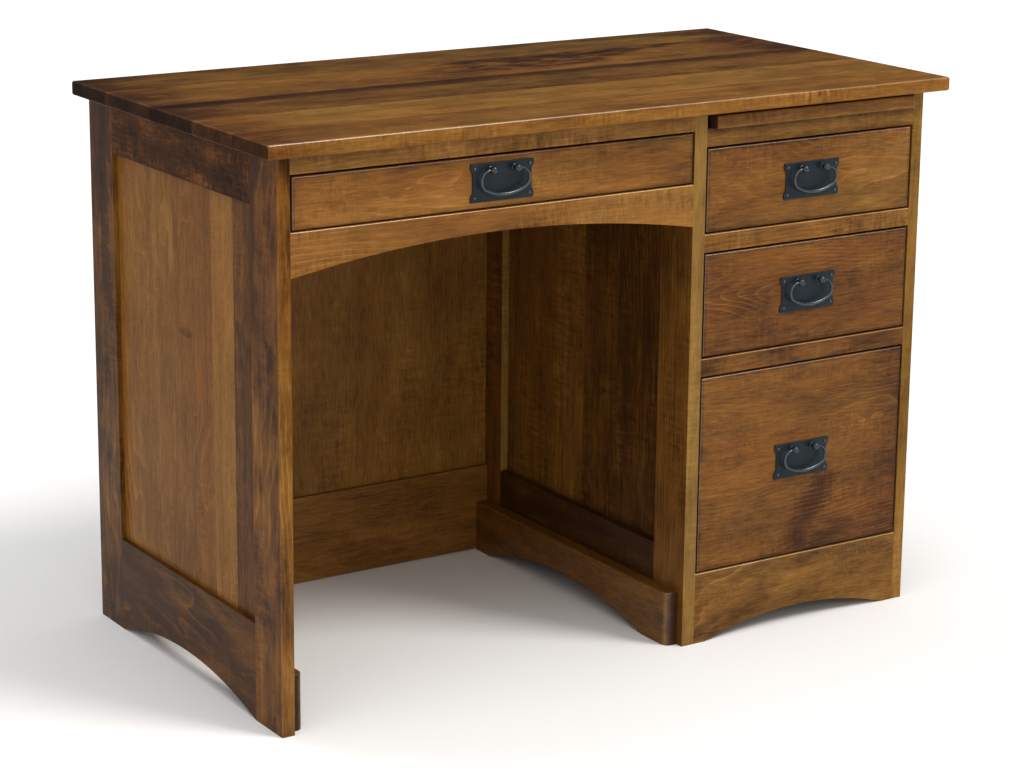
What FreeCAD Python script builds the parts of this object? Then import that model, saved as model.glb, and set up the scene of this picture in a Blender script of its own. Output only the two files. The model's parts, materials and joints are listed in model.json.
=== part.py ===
import FreeCAD, Part
import math
import os
import re
import Sketcher

# Single-pedestal writing desk in solid wood: kneehole on the left, drawer pedestal on the right.
# Frame: origin on the floor under the middle of the desktop, +X to the right as seen from the front,
# +Y to the back, +Z up. All sizes in millimetres.

SIZES = {
    # Overall
    "desktop_width": 1066,
    "desktop_depth": 558,
    "desktop_thickness": 19,
    "desktop_edge_round": 3,
    "case_height": 743,
    "side_overhang": 25,
    "front_overhang": 25,
    # Frame-and-panel sides
    "end_thickness": 18,
    "inner_side_thickness": 20,
    "pedestal_opening": 356,
    "stile_width": 70,
    "side_top_rail": 71,
    "side_bottom_rail": 131,
    "end_arch_rise": 31,
    "end_panel_recess": 7,
    "inner_panel_back": 2,
    "panel_thickness": 6,
    "groove_depth": 8,
    "leg_height": 40,
    "arris_round": 1.5,
    # Clearances of glued joints
    "joint_clearance": 0.1,
    "joint_end_gap": 0.5,
    # Face rails
    "rail_thickness": 19,
    "rail_height": 25,
    "tenon_length": 6,
    "tenon_shoulder": 5,
    "base_rail_height": 101,
    "base_foot": 19,
    "base_arch_rise": 25,
    "apron_height": 57,
    "apron_arch_rise": 28,
    # Kneehole base boards
    "base_board_thickness": 19,
    "base_board_height": 76,
    "base_board_setback": 12,
    "base_board_round": 10,
    # Back
    "back_inset": 14,
    "back_floor_gap": 2,
    # Desktop cleats and screws
    "cleat_size": 19,
    "screw_radius": 2,
    "screw_head_radius": 4,
    "screw_head_height": 2.5,
    "screw_bite": 12,
    "screw_clearance": 0.1,
    "screw_end_margin": 60,
    # Drawers
    "drawer_gap": 2.5,
    "center_drawer_height": 66,
    "upper_drawer_height": 113,
    "middle_drawer_height": 141.5,
    "front_thickness": 19,
    "front_round": 2.5,
    "box_board": 12,
    "box_margin": 10,
    "box_back_gap": 31,
    "bottom_thickness": 6,
    "bottom_groove": 6,
    "bottom_lift": 8,
    "pin_width": 6,
    "tail_flare": 2,
    # Drawer slides
    "slide_width": 12.5,
    "slide_height": 36,
    "slide_wall": 1.2,
    "slide_clearance": 0.3,
    "slide_rise": 33,
    "slide_setback": 3,
    # Hanging-file rails
    "file_rail_thickness": 3,
    "file_rail_stand": 9,
    "file_rail_sink": 8,
    # Writing board
    "board_thickness": 18,
    "board_side_gap": 7.5,
    "board_proud": 12,
    "board_headroom": 4.5,
    "board_back_gap": 31,
    "board_clearance": 0.3,
    "board_edge_round": 3,
    "runner_thickness": 14,
    "runner_ledge": 8,
    # Pulls
    "plate_width": 95,
    "plate_height": 50,
    "plate_thickness": 2,
    "plate_bevel": 0.8,
    "plate_waist": 3.5,
    "plate_ear": 8,
    "plate_ear_slope": 4,
    "plate_corner_round": 2.5,
    "rivet_radius": 2.4,
    "rivet_inset": 6.5,
    "post_spacing": 36,
    "post_lift": 16.5,
    "post_reach": 8,
    "post_head_radius": 5.4,
    "post_stem_radius": 3,
    "bolt_radius": 2,
    "bolt_clearance": 0.1,
    "bolt_tail": 5,
    "nut_radius": 4,
    "nut_height": 3,
    "bail_tip_radius": 1.5,
    "bail_side_radius": 2.2,
    "bail_grip_radius": 3.2,
    "bail_half_width": 35.8,
    "bail_shoulder": 13,
    "bail_widest_drop": 14,
    "bail_drop": 32,
    "bail_corner_radius": 12,
    "bail_tip_reach": 4,
    "bail_pin_clearance": 0.05,
}

# Planes and spans that several pieces share, worked out from the sizes.
DERIVED = {
    "face_y": "front_overhang - desktop_depth / 2",
    "back_y": "desktop_depth / 2",
    "left_x": "side_overhang - desktop_width / 2",
    "right_x": "desktop_width / 2 - side_overhang",
    "knee_left": "left_x + end_thickness",
    "pedestal_right": "right_x - end_thickness",
    "pedestal_left": "pedestal_right - pedestal_opening",
    "knee_right": "pedestal_left - inner_side_thickness",
    "front_stile_back": "face_y + stile_width",
    "back_stile_front": "back_y - stile_width",
    "side_rail_length": "back_stile_front - front_stile_back",
    "top_rail_bottom": "case_height - side_top_rail",
    "rail_back": "face_y + rail_thickness",
    "back_rail_back": "back_y - back_inset",
    "back_rail_front": "back_rail_back - rail_thickness",
    "back_panel_front": "back_rail_front + (rail_thickness - panel_thickness) / 2",
    "back_panel_back": "back_panel_front + panel_thickness",
    "tongue_reach": "groove_depth - joint_end_gap",
    "mortise_depth": "tenon_length + joint_end_gap",
    # Kneehole, from the desktop down
    "knee_rail_bottom": "case_height - rail_height",
    "center_top": "knee_rail_bottom - drawer_gap",
    "center_bottom": "center_top - center_drawer_height",
    "apron_top": "center_bottom - drawer_gap",
    "apron_bottom": "apron_top - apron_height",
    # Pedestal, from the desktop down
    "board_top": "case_height - board_headroom",
    "board_bottom": "board_top - board_thickness",
    "board_rail_top": "board_bottom - board_clearance",
    "board_rail_bottom": "board_rail_top - rail_height",
    "upper_top": "board_rail_bottom - drawer_gap",
    "upper_bottom": "upper_top - upper_drawer_height",
    "upper_rail_top": "upper_bottom - drawer_gap",
    "upper_rail_bottom": "upper_rail_top - rail_height",
    "middle_top": "upper_rail_bottom - drawer_gap",
    "middle_bottom": "middle_top - middle_drawer_height",
    "lower_rail_top": "middle_bottom - drawer_gap",
    "lower_rail_bottom": "lower_rail_top - rail_height",
    "file_top": "lower_rail_bottom - drawer_gap",
    "file_bottom": "base_rail_height + drawer_gap",
    # Drawer boxes and slides
    "box_front": "face_y + front_thickness",
    "box_back": "back_rail_front - box_back_gap",
    "slide_start": "box_front + slide_setback",
    "bolt_hole_radius": "bolt_radius + bolt_clearance",
    "screw_hole_radius": "screw_radius + screw_clearance",
    "plate_front": "face_y - plate_thickness",
    "pivot_y": "plate_front - post_reach",
}

# Each drawer: its opening, and the number of dovetails at each corner of its box.
DRAWERS = {
    "center": {"left": "knee_left", "right": "knee_right", "tails": 2},
    "upper": {"left": "pedestal_left", "right": "pedestal_right", "tails": 3},
    "middle": {"left": "pedestal_left", "right": "pedestal_right", "tails": 4},
    "file": {"left": "pedestal_left", "right": "pedestal_right", "tails": 7},
}

SCREWS_PER_CLEAT = 3
NUT_SIDE_COUNT = 6
OVERCUT = "1"  # how far a cutter runs past an open face

doc = FreeCAD.newDocument("PedestalDesk")
sheet = doc.addObject("Spreadsheet::Sheet", "Sizes")
for row, (alias, size) in enumerate(SIZES.items(), start=1):
    sheet.set(f"A{row}", alias)
    sheet.set(f"B{row}", str(size))
    sheet.setAlias(f"B{row}", alias)
doc.recompute()

nodes = []


# Helpers: formulas, blocks, booleans and sketches


def formula(text):
    """The sheet expression of a formula: shared planes are opened up and sizes read from their cells."""
    def spell_out(match):
        word = match.group(0)
        if word in DERIVED:
            return "(" + formula(DERIVED[word]) + ")"
        if word in SIZES:
            return "Sizes." + word
        return word
    return re.sub(r"[a-z_]+", spell_out, text)


def number(text):
    """The present value of a formula."""
    return float(sheet.evalExpression(formula(text)))


def tie(thing, **formulas):
    """Binds properties of an object to formulas."""
    for prop, text in formulas.items():
        thing.setExpression(prop, formula(text))


def put(thing, x, y, z):
    """Binds an object's place to formulas."""
    for axis, text in zip("xyz", (x, y, z)):
        thing.setExpression("Placement.Base." + axis, formula(text))


def block(name, x, y, z):
    """A rectangular block between a low and a high formula on each axis."""
    piece = doc.addObject("Part::Box", name)
    tie(piece, Length=f"({x[1]}) - ({x[0]})", Width=f"({y[1]}) - ({y[0]})", Height=f"({z[1]}) - ({z[0]})")
    put(piece, x[0], y[0], z[0])
    return piece


def off_wall(wall, inward, near_gap, far_gap):
    """The x span between two distances from an upright wall; inward is 1 or -1, the way they are measured."""
    near_x = f"{wall} + {inward} * ({near_gap})"
    far_x = f"{wall} + {inward} * ({far_gap})"
    return (near_x, far_x) if inward > 0 else (far_x, near_x)


TURN_TO = {
    "X": FreeCAD.Rotation(FreeCAD.Vector(0, 1, 0), 90),
    "Y": FreeCAD.Rotation(FreeCAD.Vector(1, 0, 0), -90),
    "Z": FreeCAD.Rotation(),
}


def rod(name, along, start, radius, length):
    """A cylinder from a start point along one axis."""
    piece = doc.addObject("Part::Cylinder", name)
    piece.Placement.Rotation = TURN_TO[along]
    tie(piece, Radius=radius, Height=length)
    put(piece, *start)
    return piece


def group(name, pieces):
    """Several solids kept apart in one object."""
    piece = doc.addObject("Part::Compound", name)
    piece.Links = pieces
    return piece


def cut(name, base, tools):
    piece = doc.addObject("Part::Cut", name)
    piece.Base = base
    piece.Tool = group(name + "_tools", tools)
    return piece


def fuse(name, pieces):
    piece = doc.addObject("Part::MultiFuse", name)
    piece.Shapes = pieces
    piece.Refine = True
    return piece


def node(label, piece):
    """Names a finished sub-part."""
    piece.Label = label
    nodes.append(piece)


def arch_cutter(name, along, middle, chord, rise, foot_z, start, length):
    """A cylinder whose top rises over a chord at foot_z: the lower edge of an arched board."""
    radius = f"((({chord}) / 2) ^ 2 + ({rise}) ^ 2) / (2 * ({rise}))"
    center_z = f"({foot_z}) + ({rise}) - {radius}"
    if along == "X":
        return rod(name, "X", (start, middle, center_z), radius, length)
    return rod(name, "Y", (middle, start, center_z), radius, length)


def plane_of(body, role):
    return next(plane for plane in body.Origin.OriginFeatures if plane.Role == role)


def new_sketch(body, name, role):
    sketch = body.newObject("Sketcher::SketchObject", name)
    sketch.AttachmentSupport = (plane_of(body, role), [""])
    sketch.MapMode = "FlatFace"
    return sketch


def fix_point(sketch, side, corner, x, y):
    """Holds one sketch point at two formulas, measured from the sketch's origin."""
    for kind, text, axis in (("DistanceX", x, -2), ("DistanceY", y, -1)):
        if text == "0":
            sketch.addConstraint(Sketcher.Constraint("PointOnObject", side, corner, axis))
            continue
        index = sketch.addConstraint(Sketcher.Constraint(kind, -1, 1, side, corner, number(text)))
        sketch.setExpression(f"Constraints[{index}]", formula(text))


def outline(sketch, points):
    """A closed loop through (x, y) formulas; a third value is the rise of an arch to the next point."""
    spots = [FreeCAD.Vector(number(point[0]), number(point[1]), 0) for point in points]
    ends = []
    for place, point in enumerate(points):
        here = spots[place]
        there = spots[(place + 1) % len(points)]
        if len(point) == 2:
            side = sketch.addGeometry(Part.LineSegment(here, there), False)
        else:
            top = (here + there) / 2 + FreeCAD.Vector(0, number(point[2]), 0)
            side = sketch.addGeometry(Part.Arc(here, top, there), False)
        first = 1 if sketch.getPoint(side, 1).distanceToPoint(here) < 1e-6 else 2
        ends.append((side, first, 3 - first))
    for place, (side, first, last) in enumerate(ends):
        after = ends[(place + 1) % len(ends)]
        sketch.addConstraint(Sketcher.Constraint("Coincident", side, last, after[0], after[1]))
        fix_point(sketch, side, first, points[place][0], points[place][1])
    for place, point in enumerate(points):
        if len(point) == 3:
            chord = f"(({points[(place + 1) % len(points)][0]}) - ({point[0]}))"
            radius = f"(({chord} / 2) ^ 2 + ({point[2]}) ^ 2) / (2 * ({point[2]}))"
            index = sketch.addConstraint(Sketcher.Constraint("Radius", ends[place][0], number(radius)))
            sketch.setExpression(f"Constraints[{index}]", formula(radius))


def circle(sketch, x, y, radius):
    spot = FreeCAD.Vector(number(x), number(y), 0)
    ring = sketch.addGeometry(Part.Circle(spot, FreeCAD.Vector(0, 0, 1), number(radius)), False)
    fix_point(sketch, ring, 3, x, y)
    index = sketch.addConstraint(Sketcher.Constraint("Radius", ring, number(radius)))
    sketch.setExpression(f"Constraints[{index}]", formula(radius))


def pad(body, sketch, length, reverse=False):
    feature = body.newObject("PartDesign::Pad", body.Name + "_pad")
    feature.Profile = sketch
    tie(feature, Length=length)
    feature.Reversed = reverse
    sketch.Visibility = False
    doc.recompute()
    return feature


def picked_edges(feature, wanted):
    """Names of the edges of a feature that a test on their mid-point and direction picks."""
    names = []
    for index, edge in enumerate(feature.Shape.Edges, start=1):
        middle = edge.valueAt((edge.FirstParameter + edge.LastParameter) / 2)
        if wanted(middle, edge.BoundBox):
            names.append(f"Edge{index}")
    return names


def dress(body, kind, feature, wanted, **formulas):
    """A fillet or chamfer on the picked edges of the body's last feature."""
    finish = body.newObject("PartDesign::" + kind, body.Name + "_" + kind.lower())
    finish.Base = (feature, picked_edges(feature, wanted))
    tie(finish, **formulas)
    doc.recompute()
    return finish


def near(first, second):
    return abs(first - second) < 1e-4


def at_face(box):
    """Whether an edge lies all along in the plane of the desk's face."""
    face = number("face_y")
    return near(box.YMin, face) and near(box.YMax, face)


def eased(name, base, wanted):
    """A block with the arris rounded on the edges that a test picks."""
    doc.recompute()
    radius = number("arris_round")
    piece = doc.addObject("Part::Fillet", name)
    piece.Base = base
    piece.Edges = [(int(edge[4:]), radius, radius) for edge in picked_edges(base, wanted)]
    return piece


# Frame-and-panel sides


def side_frame(name, low_x, thickness, panel_x, front_cuts, back_cuts, eased_x):
    """Two stiles, two rails and a panel. The stiles run to the floor as feet; the bottom rail is arched.
    eased_x is the outer face, where the front stile's upright edge is eased, or None."""
    x = (low_x, f"{low_x} + {thickness}")
    panel = (panel_x, f"{panel_x} + panel_thickness")
    groove = (f"{panel_x} - joint_clearance", f"{panel_x} + panel_thickness + joint_clearance")
    inner_y = ("front_stile_back", "back_stile_front")
    above_leg = ("leg_height", f"case_height + {OVERCUT}")

    front = block(name + "_front_stile_blank", x, ("face_y", "front_stile_back"), ("0", "case_height"))
    if eased_x:
        outer_x = number(eased_x)
        front = eased(name + "_front_stile_eased", front,
                      lambda at, box: near(at.x, outer_x) and at_face(box))
    front_groove = block(name + "_front_groove", groove,
                         ("front_stile_back - groove_depth", f"front_stile_back + {OVERCUT}"), above_leg)
    front = cut(name + "_front_stile", front, [front_groove] + front_cuts)
    back = block(name + "_back_stile_blank", x, ("back_stile_front", "back_y"), ("0", "case_height"))
    back_groove = block(name + "_back_groove", groove,
                        (f"back_stile_front - {OVERCUT}", "back_stile_front + groove_depth"), above_leg)
    back = cut(name + "_back_stile", back, [back_groove] + back_cuts)
    node(name + "_stiles", group(name + "_stile_pair", [front, back]))

    tenon_y = ("front_stile_back - tongue_reach", "back_stile_front + tongue_reach")
    top = block(name + "_top_rail_body", x, inner_y, ("top_rail_bottom", "case_height"))
    top_tenon = block(name + "_top_tenon", panel, tenon_y, ("top_rail_bottom + groove_depth", "case_height"))
    top_groove = block(name + "_top_rail_groove", groove, inner_y,
                       (f"top_rail_bottom - {OVERCUT}", "top_rail_bottom + groove_depth"))
    node(name + "_top_rail", fuse(name + "_top", [cut(name + "_top_cut", top, [top_groove]), top_tenon]))

    rail = block(name + "_bottom_rail_body", x, inner_y, ("0", "side_bottom_rail"))
    arch = arch_cutter(name + "_arch", "X", "(front_stile_back + back_stile_front) / 2", "side_rail_length",
                       "end_arch_rise", "0", f"{low_x} - {OVERCUT}", f"{thickness} + 2 * {OVERCUT}")
    rail_groove = block(name + "_bottom_rail_groove", groove, inner_y,
                        ("side_bottom_rail - groove_depth", f"side_bottom_rail + {OVERCUT}"))
    rail_tenon = block(name + "_bottom_tenon", panel, tenon_y,
                       ("leg_height + joint_clearance", "side_bottom_rail - groove_depth"))
    lower = cut(name + "_bottom_cut", fuse(name + "_bottom_blank", [rail, rail_tenon]), [arch, rail_groove])
    node(name + "_bottom_rail", lower)

    node(name + "_panel", block(name + "_panel_board", panel, tenon_y,
                                ("side_bottom_rail - tongue_reach", "top_rail_bottom + tongue_reach")))


FACE_RAILS = {
    "knee_top_rail": ("knee_left", "knee_right", "knee_rail_bottom", "case_height"),
    "knee_apron": ("knee_left", "knee_right", "apron_bottom", "apron_top"),
    "board_rail": ("pedestal_left", "pedestal_right", "board_rail_bottom", "board_rail_top"),
    "upper_rail": ("pedestal_left", "pedestal_right", "upper_rail_bottom", "upper_rail_top"),
    "lower_rail": ("pedestal_left", "pedestal_right", "lower_rail_bottom", "lower_rail_top"),
    "base_rail": ("pedestal_left", "pedestal_right", "0", "base_rail_height"),
}


def tenon_span(rail):
    """Height of a face rail's tenons: shouldered above and below, and clear of the base rail's foot."""
    low, high = FACE_RAILS[rail][2:]
    foot = "base_arch_rise + tenon_shoulder" if rail == "base_rail" else f"{low} + tenon_shoulder"
    return foot, f"{high} - tenon_shoulder"


def mortises(rails, wall, inward):
    """Sockets in a front stile for face-rail tenons; inward is +1 where the wood lies on the +X side."""
    sockets = []
    for rail in rails:
        low, high = tenon_span(rail)
        x = off_wall(wall, inward, f"-{OVERCUT}", "mortise_depth")
        y = ("face_y + tenon_shoulder - joint_clearance", "rail_back - tenon_shoulder + joint_clearance")
        z = (f"{low} - joint_clearance", f"{high} + joint_clearance")
        sockets.append(block(f"{rail}_mortise", x, y, z))
    return sockets


def back_slot(wall, inward):
    """The upright groove in a back stile that takes the tongues of the back."""
    x = off_wall(wall, inward, f"-{OVERCUT}", "mortise_depth")
    y = ("back_panel_front - joint_clearance", "back_panel_back + joint_clearance")
    return [block("back_slot", x, y, ("leg_height", f"case_height + {OVERCUT}"))]


KNEE_RAILS = ["knee_top_rail", "knee_apron"]
PEDESTAL_RAILS = ["board_rail", "upper_rail", "lower_rail", "base_rail"]

side_frame("left_end", "left_x", "end_thickness", "left_x + end_panel_recess",
           mortises(KNEE_RAILS, "knee_left", -1), back_slot("knee_left", -1), "left_x")
side_frame("inner_side", "knee_right", "inner_side_thickness",
           "pedestal_left - inner_panel_back - panel_thickness",
           mortises(KNEE_RAILS, "knee_right", 1) + mortises(PEDESTAL_RAILS, "pedestal_left", -1),
           back_slot("knee_right", 1) + back_slot("pedestal_left", -1), None)
side_frame("right_end", "pedestal_right", "end_thickness", "right_x - end_panel_recess - panel_thickness",
           mortises(PEDESTAL_RAILS, "pedestal_right", 1), back_slot("pedestal_right", 1), "right_x")


# Face rails


def face_rail(rail, eased_heights):
    """A rail flush with the face, its long front edges eased at some heights, a stub tenon at each end."""
    left, right, low, high = FACE_RAILS[rail]
    heights = [number(height) for height in eased_heights]
    blank = block(rail + "_blank", (left, right), ("face_y", "rail_back"), (low, high))
    body = eased(rail + "_body", blank, lambda at, box: at_face(box) and near(box.ZLength, 0)
                 and any(near(at.z, height) for height in heights))
    tenon = block(rail + "_tenon", (f"{left} - tenon_length", f"{right} + tenon_length"),
                  ("face_y + tenon_shoulder", "rail_back - tenon_shoulder"), tenon_span(rail))
    return fuse(rail + "_board", [body, tenon])


def arched_face_rail(rail, inset, rise):
    """A face rail whose lower edge is an arch that starts a little in from each end."""
    left, right, low, high = FACE_RAILS[rail]
    arch = arch_cutter(rail + "_arch", "Y", f"({left} + {right}) / 2", f"{right} - {left} - 2 * ({inset})",
                       rise, low, f"face_y - {OVERCUT}", f"rail_thickness + 2 * {OVERCUT}")
    return cut(rail + "_arched", face_rail(rail, [high]), [arch])


node("kneehole_top_rail", face_rail("knee_top_rail", ["knee_rail_bottom"]))
node("kneehole_apron", arched_face_rail("knee_apron", "0", "apron_arch_rise"))
node("writing_board_rail", face_rail("board_rail", ["board_rail_bottom", "board_rail_top"]))
node("drawer_rails", group("drawer_rail_pair", [
    face_rail("upper_rail", ["upper_rail_bottom", "upper_rail_top"]),
    face_rail("lower_rail", ["lower_rail_bottom", "lower_rail_top"])]))
node("pedestal_base_rail", arched_face_rail("base_rail", "base_foot", "base_arch_rise"))


# Kneehole base boards: a low plinth board on each side wall, arched like the end behind it


def base_board(name, low_x, kneehole_side):
    body = doc.addObject("PartDesign::Body", name)
    sketch = new_sketch(body, name + "_profile", "YZ_Plane")
    front = "(face_y + base_board_setback)"
    length = f"back_rail_front - {front}"
    outline(sketch, [("0", "0"), (f"front_stile_back - {front}", "0", "end_arch_rise"),
                     (f"back_stile_front - {front}", "0"), (length, "0"),
                     (length, "base_board_height"), ("0", "base_board_height")])
    board = pad(body, sketch, "base_board_thickness")
    corner_x = number(f"base_board_thickness * {kneehole_side}")
    wall_x = number(f"base_board_thickness * {1 - kneehole_side}")
    top = number("base_board_height")
    back = number(length)
    corner = dress(body, "Fillet", board, Radius="base_board_round",
                   wanted=lambda at, box: near(at.x, corner_x) and near(box.YMin, 0) and near(box.YLength, 0))
    dress(body, "Fillet", corner, Radius="arris_round",
          wanted=lambda at, box: near(box.ZMin, top) and not near(at.x, wall_x) and not near(at.y, back))
    put(body, low_x, front, "0")
    return body


node("kneehole_base_boards", group("base_board_pair", [
    base_board("left_base_board", "knee_left", 1),
    base_board("right_base_board", "knee_right - base_board_thickness", 0)]))


# Back: two rails and a panel behind the kneehole, and the same behind the pedestal


def back_rail(name, left, right, low, high, groove, tongue):
    """A back rail with a grooved edge and a tongue at each end that stands in the stiles' slots."""
    body = block(name + "_body", (left, right), ("back_rail_front", "back_rail_back"), (low, high))
    slot = block(name + "_groove", (left, right),
                 ("back_panel_front - joint_clearance", "back_panel_back + joint_clearance"), groove)
    ends = block(name + "_tongue", (f"{left} - tenon_length", f"{right} + tenon_length"),
                 ("back_panel_front", "back_panel_back"), tongue)
    return fuse(name, [cut(name + "_grooved", body, [slot]), ends])


BACKS = {"modesty": ("knee_left", "knee_right"), "pedestal_back": ("pedestal_left", "pedestal_right")}
back_rails = []
for name, (left, right) in BACKS.items():
    back_rails.append(back_rail(
        name + "_bottom_rail", left, right, "back_floor_gap", "side_bottom_rail",
        ("side_bottom_rail - groove_depth", f"side_bottom_rail + {OVERCUT}"),
        ("leg_height + joint_clearance", "side_bottom_rail - groove_depth")))
    back_rails.append(back_rail(
        name + "_top_rail", left, right, "top_rail_bottom", "case_height",
        (f"top_rail_bottom - {OVERCUT}", "top_rail_bottom + groove_depth"),
        ("top_rail_bottom + groove_depth", "case_height")))
    node(name + "_panel", block(
        name + "_panel_board", (f"{left} - tenon_length", f"{right} + tenon_length"),
        ("back_panel_front", "back_panel_back"),
        ("side_bottom_rail - tongue_reach", "top_rail_bottom + tongue_reach")))
node("back_rails", group("back_rail_set", back_rails))


# Desktop, its cleats and the screws that pull it down

CLEATS = {"left": ("knee_left", "knee_left + cleat_size"), "right": ("knee_right - cleat_size", "knee_right")}


def screw_spots():
    """Axes of the desktop screws, spread evenly along each cleat."""
    first = "(rail_back + screw_end_margin)"
    last = "(back_rail_front - screw_end_margin)"
    for low, high in CLEATS.values():
        for step in range(SCREWS_PER_CLEAT):
            share = step / (SCREWS_PER_CLEAT - 1)
            yield f"({low} + {high}) / 2", f"{first} + ({last} - {first}) * {share}"


def desktop_board():
    body = doc.addObject("PartDesign::Body", "desktop_body")
    sketch = new_sketch(body, "desktop_plan", "XY_Plane")
    outline(sketch, [("0", "0"), ("desktop_width", "0"), ("desktop_width", "desktop_depth"),
                     ("0", "desktop_depth")])
    board = pad(body, sketch, "desktop_thickness")
    dress(body, "Fillet", board, wanted=lambda at, box: True, Radius="desktop_edge_round")
    put(body, "-desktop_width / 2", "-desktop_depth / 2", "case_height")
    return body


desktop_holes = []
cleat_holes = []
screws = []
cleat_bottom = "(case_height - cleat_size)"
for x, y in screw_spots():
    desktop_holes.append(rod("desktop_hole", "Z", (x, y, f"case_height - {OVERCUT}"),
                             "screw_hole_radius", f"screw_bite + joint_end_gap + {OVERCUT}"))
    cleat_holes.append(rod("cleat_hole", "Z", (x, y, f"{cleat_bottom} - {OVERCUT}"),
                           "screw_hole_radius", f"cleat_size + 2 * {OVERCUT}"))
    shank = rod("screw_shank", "Z", (x, y, f"{cleat_bottom}"), "screw_radius", "cleat_size + screw_bite")
    head = rod("screw_head", "Z", (x, y, f"{cleat_bottom} - screw_head_height"),
               "screw_head_radius", "screw_head_height")
    screws.append(fuse("desktop_screw", [shank, head]))
cleats = []
for place, (side, x) in enumerate(CLEATS.items()):
    strip = block(f"{side}_cleat_strip", x, ("rail_back", "back_rail_front"), (cleat_bottom, "case_height"))
    own_holes = cleat_holes[place * SCREWS_PER_CLEAT:(place + 1) * SCREWS_PER_CLEAT]
    cleats.append(cut(f"{side}_cleat", strip, own_holes))
node("desktop", cut("desktop_drilled", desktop_board(), desktop_holes))
node("top_cleats", group("cleat_pair", cleats))
node("desktop_screws", group("desktop_screw_set", screws))


# Writing board and the grooved runners that carry it


def runner(name, wall, inward):
    """A runner on a pedestal wall; the board's edge lies in its groove."""
    body = block(name + "_body", off_wall(wall, inward, "0", "runner_thickness"),
                 ("rail_back", "back_rail_front"), ("board_bottom - runner_ledge", "case_height"))
    groove = block(name + "_groove", off_wall(wall, inward, "board_side_gap - board_clearance",
                                              f"runner_thickness + {OVERCUT}"),
                   (f"rail_back - {OVERCUT}", f"back_rail_front + {OVERCUT}"),
                   ("board_bottom - board_clearance", "board_top + board_clearance"))
    return cut(name, body, [groove])


def writing_board():
    body = doc.addObject("PartDesign::Body", "writing_board_body")
    sketch = new_sketch(body, "writing_board_plan", "XY_Plane")
    width = "pedestal_opening - 2 * board_side_gap"
    length = "back_rail_front - board_back_gap - (face_y - board_proud)"
    outline(sketch, [("0", "0"), (width, "0"), (width, length), ("0", length)])
    board = pad(body, sketch, "board_thickness")
    dress(body, "Fillet", board, Radius="board_edge_round",
          wanted=lambda at, box: near(box.YMin, 0) and near(box.YLength, 0))
    put(body, "pedestal_left + board_side_gap", "face_y - board_proud", "board_bottom")
    return body


node("writing_board", writing_board())
node("writing_board_runners", group("runner_pair", [
    runner("left_runner", "pedestal_left", 1), runner("right_runner", "pedestal_right", -1)]))


# Drawers


def tail_wedge(name, x, y, wide_end, low, height, grow):
    """One dovetail: a wedge that is widest at the end of the drawer side."""
    piece = doc.addObject("Part::Wedge", name)
    wide = (f"({low}) - ({grow})", f"({low}) + ({height}) + ({grow})")
    slim = (f"({low}) + tail_flare - ({grow})", f"({low}) + ({height}) - tail_flare + ({grow})")
    first, second = (wide, slim) if wide_end == "front" else (slim, wide)
    tie(piece, Xmin=x[0], Xmax=x[1], X2min=x[0], X2max=x[1], Ymin=y[0], Ymax=y[1],
        Zmin=first[0], Zmax=first[1], Z2min=second[0], Z2max=second[1])
    return piece


def box_sides(drawer):
    """The spans of a box's two sides, which stand one slide's width in from the case."""
    left = f"({drawer['left']} + slide_width)"
    right = f"({drawer['right']} - slide_width)"
    return {"left": (left, f"{left} + box_board"), "right": (f"{right} - box_board", right)}


def drawer_box(name, drawer, pulls):
    """Dovetailed box: two sides with tails, an inner front and a back with pins, grooved for the bottom."""
    side_x = box_sides(drawer)
    left = side_x["left"][0]
    right = side_x["right"][1]
    low = f"({name}_bottom + box_margin)"
    high = f"({name}_top - box_margin)"
    pitch = f"(({high} - {low}) / {drawer['tails']})"
    end_y = {"front": ("box_front", "box_front + box_board"), "back": ("box_back - box_board", "box_back")}
    groove = block(name + "_bottom_groove",
                   (f"{left} + box_board - bottom_groove", f"{right} - box_board + bottom_groove"),
                   ("box_front + box_board - bottom_groove", "box_back - box_board + bottom_groove"),
                   (f"{low} + bottom_lift", f"{low} + bottom_lift + bottom_thickness + 2 * joint_clearance"))
    sockets = {"front": [], "back": []}
    boards = []
    for side, x in side_x.items():
        core = block(f"{name}_{side}_core", x, ("box_front + box_board", "box_back - box_board"), (low, high))
        tails = []
        for end, y in end_y.items():
            for count in range(drawer["tails"]):
                foot = f"{low} + {pitch} * {count} + pin_width / 2"
                title = f"{name}_{side}_{end}_tail"
                tails.append(tail_wedge(title, x, y, end, foot, f"{pitch} - pin_width", "0"))
                sockets[end].append(tail_wedge(title + "_socket", x, y, end, foot, f"{pitch} - pin_width",
                                               "joint_clearance"))
        tools = [groove]
        if name == "file":
            tools.append(file_rail_slot(side))
        boards.append(cut(f"{name}_{side}_side", fuse(f"{name}_{side}_tailed", [core] + tails), tools))
    for end, y in end_y.items():
        board = block(f"{name}_{end}_board", (left, right), y, (low, high))
        holes = [bolt_hole(f"{name}_{end}_hole", x, z) for x, z in pulls] if end == "front" else []
        boards.append(cut(f"{name}_{end}_pins", board, sockets[end] + [groove] + holes))
    node(f"{name}_drawer_box", group(f"{name}_box_boards", boards))
    edge = "(box_board - bottom_groove + joint_end_gap)"
    floor = f"({low} + bottom_lift + joint_clearance)"
    node(f"{name}_drawer_bottom", block(
        f"{name}_bottom_panel", (f"{left} + {edge}", f"{right} - {edge}"),
        (f"box_front + {edge}", f"box_back - {edge}"), (floor, f"{floor} + bottom_thickness")))


FILE_RAIL_Y = ("box_front + box_board", "box_back - box_board")
FILE_BOX_TOP = "(file_top - box_margin)"


def file_rail_span(side, spare):
    """Thickness of a hanging-file rail, in the middle of a box side's top edge."""
    low, high = box_sides(DRAWERS["file"])[side]
    middle = f"({low} + {high}) / 2"
    return f"{middle} - file_rail_thickness / 2 - {spare}", f"{middle} + file_rail_thickness / 2 + {spare}"


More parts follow.
